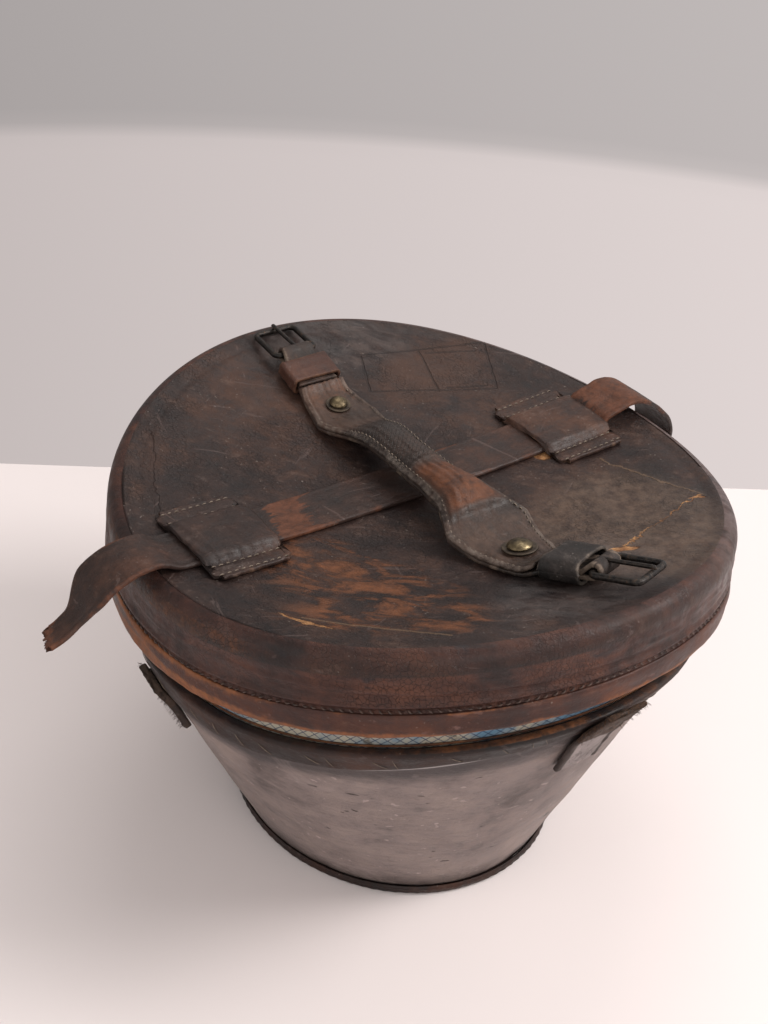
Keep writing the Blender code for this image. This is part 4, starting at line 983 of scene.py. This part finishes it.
for side_name, centre, seed in (("left", -0.1160, 81), ("right", 0.1095, 82)):
    count, around = 60, 90
    s_share = np.linspace(-1, 1, count)[:, None]
    section_t, corner_out, corner_up, side = flat_oval(61)
    section_n = 0.5 * corner_up * np.where(np.abs(corner_out) > 0, 0.9, 1.0)
    wavy = 1 + 0.012 * ripple(s_share * 3, 0.0, seed)
    t = (section_t * 0.985 + 0.015 * corner_out) * LOOP_WIDE / 2 * wavy
    ends_in = 0.004 * (np.abs(section_t) > 0.93) * np.abs(s_share) ** 8
    s = centre + s_share * (LOOP_LONG / 2 - ends_in) + 0.0008 * ripple(section_t * 2, s_share, seed + 4)
    thick = LOOP_LEATHER * (1 - 0.35 * np.abs(s_share) ** 10)
    pressed = 0.0
    for row in STITCH_ROWS:
        pressed = pressed + 0.0006 * np.exp(-(((t - row) / 0.0009) ** 2))
    lift_t = loop_height(t, s_share) + thick * (0.5 + section_n) - pressed * (section_n > 0)
    points = STRAP.over_lid(s, t, lift_t + 0.00025 * ripple(t * 150, s_share * 3, seed + 8) * (section_n > 0))
    edge = np.exp(-(((np.abs(section_t) - 1) / 0.05) ** 2)) + np.exp(-(((np.abs(s_share) - 1) / 0.06) ** 2))
    edge = edge + 0.25 * np.exp(-((((np.abs(t) - tunnel + 0.0015) / 0.0016)) ** 2))
    skin(f"strap_loop_{side_name}", points, loop_leather, "lid", f"loop_{side_name}", slot="lid_leather",
         fields={"wear": 0.34 * edge * (0.8 + 0.6 * ripple(s_share * 4, t * 60, seed + 12))})
    run = np.linspace(centre - LOOP_LONG / 2 + 0.002, centre + LOOP_LONG / 2 - 0.002, 40)
    for row, t_row in enumerate(STITCH_ROWS):
        height = float(loop_height(np.array(t_row), 0.0)) + LOOP_LEATHER - 0.0004
        strap_stitches(f"loop_{side_name}_stitches_{row}", STRAP, run, t_row, height, 0.0030)

# Studs: two brass rivets hold the handle's strap to the lid ------------------------------------------------
# Each is a low dome on a wide washer, tarnished green brown, with a burr inside the lid.

brass = Finish("tarnished_brass", Metallic=0.9)
brass_cloud = brass.noise(260, 6, 0.65)
brass_tone = brass_cloud * 0.6 + brass.noise(70, 4) * 0.5
brass_stops = (0.42, (0.045, 0.034, 0.022)), (0.56, (0.125, 0.095, 0.055)), (0.72, (0.27, 0.21, 0.12))
brass.set(Base_Color=brass.ramp(brass_tone, *brass_stops))
brass.set(Roughness=(1 - brass_tone) * 0.42 + 0.22, Normal=brass.bump(brass_cloud, 0.0007, 0.6))
old_brass = Finish("dull_brass", Metallic=0.6)
old_cloud = old_brass.noise(200, 6, 0.65)
old_stops = (0.38, (0.030, 0.022, 0.017)), (0.66, (0.105, 0.078, 0.052))
old_brass.set(Base_Color=old_brass.ramp(old_cloud, *old_stops))
old_brass.set(Roughness=(1 - old_cloud) * 0.3 + 0.4, Normal=old_brass.bump(old_cloud, 0.0006, 0.6))
for node in ("stud_burr_rear", "stud_burr_front"):
    repaint(node, old_brass)

HANDLE = Line(0.030, 0.0020, front_turn=0.36)
STUD_AT, GRIP_END, HANDLE_LEATHER, GRIP_LEATHER = 0.0886, 0.1060, 0.0024, 0.0028
TAIL_END, BUCKLE_AT, BUCKLE_LONG, BUCKLE_HALF = 0.1080, 0.1385, 0.0270, 0.0132


class EndFrame:
    """The flat frame of one end of the handle: x outwards along the lid, y across, z away from the lid."""

    def __init__(self, side):
        low, high = HANDLE.over_lid(np.array([side * TAIL_END, side * (BUCKLE_AT + BUCKLE_LONG)]), 0.0,
                                    REST_GAP)
        share = (BUCKLE_AT - TAIL_END) / (BUCKLE_AT + BUCKLE_LONG - TAIL_END)
        out = Vector(high - low).normalized()
        left, right = HANDLE.over_lid(np.full(2, side * BUCKLE_AT), np.array([-0.01, 0.01]) * side, 0.0)
        across = Vector(right - left)
        across = (across - across.dot(out) * out).normalized()
        self.side = side
        self.matrix = Matrix((out, across, out.cross(across))).transposed().to_4x4()
        self.matrix.translation = Vector(low + share * (high - low))

    def place(self, points):
        turned = np.array(self.matrix)
        return np.asarray(points) @ turned[:3, :3].T + turned[:3, 3]


ENDS = {"rear": EndFrame(-1), "front": EndFrame(1)}


def lathe(name, place, profile, finish, body, node, slot, sides=56):
    """A solid turned round z: its profile is (radius, height) points, and place puts it where it belongs."""
    radius, height = np.array(profile).T
    angle = np.linspace(0, TAU, sides, endpoint=False)[None]
    points = np.stack(np.broadcast_arrays(radius[:, None] * np.cos(angle), radius[:, None] * np.sin(angle),
                                          height[:, None]), -1)
    return skin(name, place(points), finish, body, node, slot=slot)


stack_top = REST_GAP + HANDLE_LEATHER + GAP + GRIP_LEATHER
for end, end_frame in ENDS.items():
    at = end_frame.side * STUD_AT
    foot = HANDLE.over_lid(at, 0.0, 0.0)
    along = Vector(HANDLE.over_lid(at + 0.004, 0.0, 0.0) - HANDLE.over_lid(at - 0.004, 0.0, 0.0)).normalized()
    across = Vector(HANDLE.over_lid(at, 0.004, 0.0) - HANDLE.over_lid(at, -0.004, 0.0))
    up = along.cross(across).normalized()
    axes = np.array(Matrix((along, up.cross(along), up)).transposed())
    small = 0.78 if end == "rear" else 1.0  # the rear stud has sunk into the leather
    scale = np.array([small, small, 1.0])

    def place(points):
        return (points * scale) @ axes.T + foot

    low = stack_top + 0.00045
    bend = np.linspace(0, math.pi / 2, 8)
    rim = [(0.0094 - 0.00045 * (1 - math.cos(a)), low + 0.0006 + 0.0005 * math.sin(a)) for a in bend]
    dished = [(0.0084, low + 0.0011), (0.0078, low + 0.0009), (0.0062, low + 0.0010), (0.002, low + 0.0010)]
    lathe(f"washer_{end}", place, [(0.002, low), (0.0088, low), (0.0092, low + 0.0002), *rim, *dished],
          old_brass, "lid", f"stud_washer_{end}", "brass")
    low += 0.0013
    dome = [(0.0068 * math.cos(a) ** 0.9, low + 0.0005 + 0.0032 * math.sin(a) ** 1.25)
            for a in np.linspace(0.02, 1.5, 16)]
    shank = [(0.0019, low - 0.0150), (0.0019, low), (0.0062, low), (0.0068, low + 0.0003)]
    lathe(f"stud_dome_{end}", place, [*shank, *dome], brass, "lid", f"stud_{end}", "brass")

# Handle strap: the lower strap, folded round the hinge bar of a buckle at both ends ------------------------
# Its edges are frayed and grey, most of all at the front buckle.

handle_leather = leather("handle_leather", (0.012, 0.0095, 0.0085), (0.034, 0.023, 0.019),
                         (0.075, 0.042, 0.030),
                         (0.17, 0.125, 0.095), rough=(0.36, 0.66), along=(1, 3, 3), dusty=0.8)
OUTLINE_AT = (-0.1400, -0.1330, -0.1160, -0.0780, -0.0550, -0.0200, 0.0150, 0.0380, 0.0600, 0.1160, 0.1330,
              0.1400)
OUTLINE_HALF = (0.0098, 0.0105, 0.0122, 0.0200, 0.0150, 0.0135, 0.0142, 0.0175, 0.0260, 0.0122, 0.0105,
                0.0098)
WIRE, KEEPER_LEATHER, KEEPER_CLEAR = 0.0018, 0.0018, 0.0010
tail_up = KEEPER_LEATHER + KEEPER_CLEAR / 2 + HANDLE_LEATHER / 2
eye = WIRE + 0.0006 + HANDLE_LEATHER / 2
BAR_UP = tail_up + eye
upper_layer_up = tail_up + HANDLE_LEATHER + GAP


def half_width(s):
    return np.interp(s, OUTLINE_AT, OUTLINE_HALF)


def arch(s):
    """Height of the handle's underside over the lid: it lies flat at the studs and arches between."""
    return REST_GAP + 0.0135 * smooth(0.084, 0.030, np.abs(s))


stations, crossings, widths = [], [], []
for end, end_frame in ENDS.items():
    fold = np.radians(np.linspace(-90, 115, 26))
    straight = np.linspace(TAIL_END, 0.1315, 24) - BUCKLE_AT
    back_run = np.linspace(0.1315, 0.1110, 22) - BUCKLE_AT
    out = np.concatenate([straight, eye * np.cos(fold), back_run])
    up = np.concatenate([np.full(24, tail_up), BAR_UP + eye * np.sin(fold), np.full(22, upper_layer_up)])
    place = end_frame.place(np.stack([out, 0 * out, up], -1))
    cross = end_frame.place(np.stack([out, 0 * out + end_frame.side, up], -1)) - place
    wide = half_width(end_frame.side * (BUCKLE_AT + out))
    order = slice(None, None, -1) if end == "rear" else slice(None)
    stations.append(place[order])
    crossings.append(cross[order])
    widths.append(wide[order])
main_s = np.linspace(0.004 - GRIP_END, GRIP_END - 0.004, 120)
main = HANDLE.over_lid(main_s, 0.0, arch(main_s) + HANDLE_LEATHER / 2)
beside = HANDLE.over_lid(main_s, 0.001, 0.0) - HANDLE.over_lid(main_s, 0.0, 0.0)
centre = np.concatenate([stations[0], main, stations[1]])
across = np.concatenate([crossings[0], beside, crossings[1]])
half = np.concatenate([widths[0], half_width(main_s) - 0.0006, widths[1]])
share = flat_oval()[0]
run = np.linspace(-1, 1, len(centre))
frayed = 0.0004 * ripple(run * 60, 0.0, 91, 14)
lift = 0.00025 * ripple(run[:, None] * 40, share * 4, 92)
points, share = ribbon(centre, across, half + frayed * (np.abs(run) > 0.55), 0.0, HANDLE_LEATHER, lift)
edge = np.exp(-(((np.abs(share) - 1) / 0.16) ** 2))
wear = 0.45 * edge + 0.30 * smooth(0.72, 0.86, run)[:, None] + 0.18 * (np.abs(run) > 0.6)[:, None]
skin("handle_under_strap", points, handle_leather, "lid", "handle_strap", slot="handle_leather",
     fields={"wear": wear * (0.7 + 0.6 * ripple(run[:, None] * 30, share * 2, 93))})

# Handle grip: the shaped upper leather, padded in the middle and held by the studs -------------------------
# It is scored in a fine cross hatch at the rear, polished orange at the front, and edged with a bead.


def grip_marks(made, colour, height):
    """Placed by the grip's own attributes: s along it, and t across it as a share of its half width."""
    s, t = made.attribute("s"), made.attribute("t")
    grime = made.noise(70, 6, 0.65)
    fine = made.noise(320, 4, 0.6)
    polished = (s + grime * 0.02).step(0.012, 0.022) * (s + fine * 0.004).step(0.054, 0.050)
    polished = polished * t.size().step(0.98, 0.6)
    shine = made.ramp(grime * 0.7 + fine * 0.4, (0.40, (0.030, 0.014, 0.010)), (0.64, (0.130, 0.046, 0.020)))
    colour = made.mix(polished * 0.92, colour, shine)
    hatch = s.step(-0.062, -0.054) * s.step(0.002, -0.006)
    for lean in (1.0, -1.0):
        run = (s + t * 0.014 * lean + (grime - 0.5) * 0.003) / 0.0034
        saw = made.node("ShaderNodeMath", {"operation": "FRACT"}, {0: run})
        cut = (saw - 0.5).size().step(0.14, 0.03) * hatch
        height = height - cut * 0.34
        colour = made.mix(cut * 0.45, colour, (0.085, 0.070, 0.062))
    colour = made.mix(hatch * 0.4, colour, (0.020, 0.0155, 0.0145))
    flat_ends = s.size().step(0.056, 0.064)
    dust = (grime * 0.55 + fine * 0.45).step(0.42, 0.62)
    colour = made.mix(flat_ends * (dust * 0.5 + 0.2), colour, (0.078, 0.047, 0.034))
    chamfer = s.step(-0.084, -0.098) * dust
    colour = made.mix(chamfer * 0.6, colour, (0.115, 0.050, 0.028))
    bead = t.size().step(0.84, 0.93)
    colour = made.mix(bead * dust * 0.6, colour, (0.15, 0.12, 0.10))
    return colour, height


grip_leather = leather("grip_leather", (0.012, 0.0085, 0.0075), (0.032, 0.021, 0.017), (0.072, 0.038, 0.026),
                       (0.16, 0.115, 0.080), rough=(0.24, 0.55), along=(1, 4, 1), dusty=0.5, marks=grip_marks)
s = np.linspace(-GRIP_END, GRIP_END, 340)[:, None]
share, corner_out, corner_up, side = flat_oval(41)
half = half_width(s) + 0.0004 * ripple(s * 60, 0.0, 95, 12)
under = arch(s) + HANDLE_LEATHER + GAP + 0.0006 * smooth(STUD_AT + 0.0094, GRIP_END, np.abs(s))
under = under + (KEEPER_LEATHER + 2 * HANDLE_LEATHER) * smooth(GRIP_END - 0.006, GRIP_END + 0.006, np.abs(s))
crown = (1 - share**2) * smooth(0.062, 0.038, np.abs(s))
padding = smooth(0.006, 0.022, s) * smooth(0.0535, 0.0495, s)
ridges = np.exp(-(((s - 0.0015) / 0.0014) ** 2)) + np.exp(-(((s + 0.0045) / 0.0014) ** 2))
roll = np.exp(-(((s - 0.0515) / 0.0018) ** 2))
edge_in = half * (1 - np.abs(share))
bead = 0.0007 * np.exp(-(((edge_in - 0.0010) / 0.0008) ** 2))
bead = bead - 0.0006 * np.exp(-(((edge_in - 0.0026) / 0.0006) ** 2))
raised = bead + 0.0011 * ridges * (1 - share**4) + 0.0022 * padding * (1 - share**4)
raised = raised + 0.0010 * roll * (1 - share**6) + 0.0003 * ripple(s * 50, share * 3, 96)
thin = GRIP_LEATHER * (1 - 0.25 * smooth(0.75, 1, np.abs(share)))
corner = 0.0011
t = share * (half - corner) + corner_out * corner
high = under + 0.0052 * crown + np.where(side > 0, thin - corner + raised, corner) + corner_up * corner
grip = skin("grip_leather_top", HANDLE.over_lid(s, t, high), grip_leather, "lid", "handle_grip",
            slot="handle_leather",
            fields={"s": s, "t": share, "wear": 0.30 * np.exp(-((edge_in / 0.0012) ** 2)) + 0 * s})
for row, way in enumerate((1, -1)):
    run = np.linspace(-0.104, 0.104, 220)
    inward = half_width(run) - 0.0027
    puffed = 0.0052 * (1 - (inward / half_width(run)) ** 2) * smooth(0.062, 0.038, np.abs(run))
    level = arch(run) + HANDLE_LEATHER + GRIP_LEATHER + puffed
    strap_stitches(f"grip_stitches_{row}", HANDLE, run, way * inward, level - 0.0001, 0.0024,
                   every=0.0036)

# Keepers: a small loop of leather behind each buckle, round both layers of the strap ------------------------

keeper_leather = leather("keeper_leather", (0.018, 0.011, 0.009), (0.050, 0.023, 0.017),
                         (0.095, 0.042, 0.028),
                         (0.15, 0.075, 0.042), rough=(0.34, 0.6), along=(1, 4, 1), dusty=0.5)
grey_leather = leather("grey_leather", (0.010, 0.009, 0.0085), (0.028, 0.022, 0.020), (0.062, 0.049, 0.042),
                       (0.17, 0.135, 0.11), rough=(0.5, 0.75), along=(1, 4, 1), dusty=0.9)


def rounded_path(low_x, high_x, low_y, high_y, corner, steps=7):
    """Points round a rectangle with rounded corners, close together along its sides too."""
    corners = []
    for x, y, first in (
        (high_x - corner, high_y - corner, 0), (low_x + corner, high_y - corner, 90),
        (low_x + corner, low_y + corner, 180), (high_x - corner, low_y + corner, 270),
    ):
        a = np.radians(np.linspace(first, first + 90, steps))
        corners.append(np.stack([x + corner * np.cos(a), y + corner * np.sin(a)], 1))
    rows = []
    for here, after in zip(corners, corners[1:] + corners[:1]):
        share = np.linspace(0, 1, 14)[1:-1, None]
        rows += [here, here[-1] + (after[0] - here[-1]) * share]
    return np.concatenate(rows)


for end, end_frame in ENDS.items():
    high = upper_layer_up + HANDLE_LEATHER / 2 + KEEPER_CLEAR + KEEPER_LEATHER / 2
    swollen = 0.0022 if end == "front" else 0.0
    path = rounded_path(-0.0149, 0.0149, KEEPER_LEATHER / 2, high + swollen, 0.0016 + 1.4 * swollen)
    ahead = unit(np.roll(path, -1, 0) - np.roll(path, 1, 0))
    out = np.stack([ahead[:, 1], -ahead[:, 0]], 1)
    share, corner_out, corner_up, side = flat_oval(11)
    run = np.arange(len(path)) / len(path) * TAU
    width = 0.0090 + (0.0005 + 0.3 * swollen) * ripple(run, 0.0, 97, 6) + 0.8 * swollen
    x = 0.1215 - BUCKLE_AT + width[:, None] * share + corner_out * 0.0004
    off = corner_up * 0.0009 + 0.0002 * ripple(run[:, None], share * 3, 98) * (side > 0)
    y = path[:, :1] + out[:, :1] * off
    z = path[:, 1:] + out[:, 1:] * off
    edge = np.exp(-(((np.abs(share) - 1) / 0.2) ** 2))
    skin(f"keeper_loop_{end}", end_frame.place(np.stack([x, y, z], -1)),
         grey_leather if end == "front" else keeper_leather, "lid", f"keeper_{end}",
         slot="strap_leather", closed_rows=True, fields={"wear": 0.45 * edge + 0 * x})

# Buckles: a forged iron wire frame on each end of the handle, with a tongue round its hinge bar -------------

iron = Finish("rusted_iron", Metallic=0.75)
rust = iron.noise(420, 6, 0.7)
iron_stops = (0.40, (0.012, 0.011, 0.011)), (0.58, (0.040, 0.032, 0.027)), (0.72, (0.11, 0.055, 0.028))
iron.set(Base_Color=iron.ramp(rust, *iron_stops))
iron.set(Roughness=(rust - 0.3) * 0.8 + 0.22, Normal=iron.bump(rust, 0.0006, 0.7))


def wire(path, radius, sides=18):
    """Rings of a round wire along a path in x, y and z."""
    closed = np.linalg.norm(path[0] - path[-1]) < 0.004
    ahead = unit(np.roll(path, -1, 0) - np.roll(path, 1, 0) if closed else np.gradient(path, axis=0))
    flat = np.array([0.0, 0.0, 1.0]) if closed else np.array([0.0, 1.0, 0.0])
    side = np.cross(ahead, flat)
    angle = np.linspace(0, TAU, sides, endpoint=False)
    ring = side[:, None] * np.cos(angle)[None, :, None] + flat * np.sin(angle)[None, :, None]
    return path[:, None] + np.reshape(radius, (-1, 1, 1)) * ring


for end, raised in (("rear", 0.0), ("front", 1.0)):
    drop = (BAR_UP - WIRE - GAP) * (1 - raised)
    pitch = Matrix.Rotation(math.asin(drop / BUCKLE_LONG), 4, "Y")
    hinge = np.array(ENDS[end].matrix @ Matrix.Translation((0, 0, BAR_UP)) @ pitch)
    place = lambda points: points @ hinge[:3, :3].T + hinge[:3, 3]
    path = rounded_path(0.0, BUCKLE_LONG, -BUCKLE_HALF, BUCKLE_HALF, 0.0035)
    path = np.concatenate([path, np.zeros((len(path), 1))], 1)
    worn = WIRE + 0.00008 * ripple(np.linspace(0, TAU, len(path), endpoint=False), 0.0, 99, 14)
    skin(f"buckle_wire_{end}", place(wire(path, worn)), iron, f"buckle_{end}", f"buckle_frame_{end}",
         slot="iron", closed_rows=True)
    curl = WIRE + 0.0006 + 0.0012
    wrap = np.radians(np.linspace(30, -270, 34))
    above = WIRE + GAP + 0.0012
    eye_part = np.stack([curl * np.cos(wrap), 0 * wrap, curl * np.sin(wrap)], 1)
    rises = (curl, above + 0.0001, above, above, above, above * 0.75)
    pin = through(np.stack([(0.0, 0.20, 0.5, 0.85, 1.02, 1.09), rises], 1), 40)
    pin = np.stack([pin[2:, 0] * BUCKLE_LONG, 0 * pin[2:, 0], pin[2:, 1]], 1)
    path = np.concatenate([eye_part, pin])
    radius = 0.0012 * np.interp(np.arange(len(path)), [0, 2, len(path) - 8, len(path) - 1], [0.8, 1, 1, 0.5])
    skin(f"buckle_pin_{end}", place(wire(path, radius)), iron, f"tongue_{end}", f"buckle_tongue_{end}",
         slot="iron")

# Tabs and seam: what is left of four closing straps sewn to the wall, and the strip over its joint ----------
# The front tab has torn at the lid's edge, and its upper part is bare tan fibre.



def tab_marks(made, colour, height):
    """Dark cut edges round a pale face, and dark brown flesh above, where the face has torn away."""
    level, reach = made.attribute("level"), made.attribute("reach").size()
    fray = made.noise(300, 5, 0.7, at=made.stretched((4, 4, 1)))
    flesh = made.ramp(fray, (0.38, (0.020, 0.012, 0.009)), (0.64, (0.120, 0.062, 0.036)))
    colour = made.mix((reach + fray * 0.12).step(0.80, 0.92) * 0.9, colour, (0.028, 0.017, 0.013))
    crack = (made.noise(60, 5, 0.7, at=made.stretched((3, 3, 0.6))) - 0.5).size().step(0.010, 0.002)
    colour = made.mix(crack * 0.6, colour, (0.05, 0.035, 0.03))
    stripped = (level + (fray - 0.5) * 0.02).step(0.958, 0.972)
    return made.mix(stripped * 0.95, colour, flesh), height - crack * 0.4 + stripped * fray * 1.2


tab_leather = leather("tab_leather", (0.15, 0.122, 0.116), (0.27, 0.228, 0.220), (0.36, 0.31, 0.295),
                      (0.12, 0.075, 0.05), rough=(0.5, 0.75), along=(5, 5, 1), dusty=0.6, marks=tab_marks)
dark_tab_leather = leather("dark_tab_leather", (0.012, 0.009, 0.008), (0.032, 0.022, 0.019),
                           (0.065, 0.042, 0.032),
                           (0.085, 0.055, 0.040), rough=(0.5, 0.75), along=(5, 5, 1), dusty=0.8)


def wall_strip(name, node, angle, half, t_low, t_high, thickness, finish, slot, torn_by=0.0, torn_from=9.0,
               seed=1):
    """A strip lying up the wall and out over the binding."""
    t = np.linspace(t_low, t_high, 110)
    clear = 0.0006 + 0.0021 * smooth(0.92, 0.99, t)
    centre = wall_point(t, clear + thickness / 2 + 0.0015 * smooth(0.98, 1.2, t), angle)
    beside = wall_point(t, 0.0, angle + 0.01) - wall_point(t, 0.0, angle)
    share = flat_oval()[0]
    jag = np.interp(share, np.linspace(-1.1, 1.1, 30), np.random.default_rng(seed).uniform(0, 1, 30))
    narrow = torn_by * smooth(torn_from, t_high, t) * (0.6 + 0.8 * np.abs(ripple(t * 30, 0.0, seed + 1)))
    lift = 0.0004 * ripple(t[:, None] * 18, share * 4, seed + 2)
    lift = lift - 0.0004 * np.exp(-(((np.abs(share) - 0.8) / 0.05) ** 2))
    points, share = ribbon(centre, -beside, half - narrow, 0.0, thickness, lift, back=(0.6 * jag, 9 * jag**2))
    edge = np.exp(-(((np.abs(share) - 1) / 0.15) ** 2))
    wear = 0.25 * edge + 0.85 * smooth(torn_from, torn_from + 0.05, t)[:, None]
    fields = {"wear": wear, "level": t[:, None] + 0 * wear, "reach": share}
    return skin(name, points, finish, "case", node, slot=slot, fields=fields)


wall_strip("seam_cover", "body_seam_strip", 2.40, 0.013, 0.07, 0.97, 0.0016, wall_leather, "case_leather",
           seed=111)
wall_strip("tab_front", "front_tab", 0.055, 0.014, 0.79, 1.20, 0.0030, tab_leather, "strap_leather", 0.002,
           1.02, 121)
wall_strip("tab_rear", "rear_tab", math.pi - 0.02, 0.014, 0.79, 1.05, 0.0030, tab_leather, "strap_leather",
           seed=131)
wall_strip("tab_left", "left_tab", -math.pi / 2 - 0.055, 0.014, 0.765, 1.01, 0.0042, dark_tab_leather,
           "strap_leather", 0.003, 0.90, 141)
wall_strip("tab_right", "right_tab", math.pi / 2 + 0.13, 0.014, 0.72, 1.05, 0.0055, dark_tab_leather,
           "strap_leather", seed=151)



def fibres(name, angle, t, half, out, count, seed):
    """Frayed fibres that stand out of a tab's two long edges, each its own way."""
    toss = np.random.default_rng(seed)
    level = toss.uniform(*t, count)
    side = toss.choice((-1.0, 1.0), count)
    aside = unit(wall_point(level, 0.0, angle + 0.01) - wall_point(level, 0.0, angle)) * side[:, None]
    outward = unit(np.stack([0 * level + math.cos(angle), 0 * level + math.sin(angle), 0 * level - 0.4], -1))
    along = unit(aside * 0.9 + outward * toss.uniform(0.1, 1.4, (count, 1)) + toss.normal(0, 0.5, (count, 3)))
    root = wall_point(level, out, angle) + aside * half * toss.uniform(0.80, 1.0, (count, 1))
    away = unit(np.cross(along, aside + 0.01))
    return stitches(name, root + along * 0.0012, along, away, 0.0042, 0.00011, "case",
                    dark_thread)


fibres("tab_front_fibres", 0.055, (0.97, 1.20), 0.0135, 0.0050, 90, 161)
fibres("tab_left_fibres", -math.pi / 2 - 0.055, (0.78, 1.00), 0.0140, 0.0045, 150, 162)
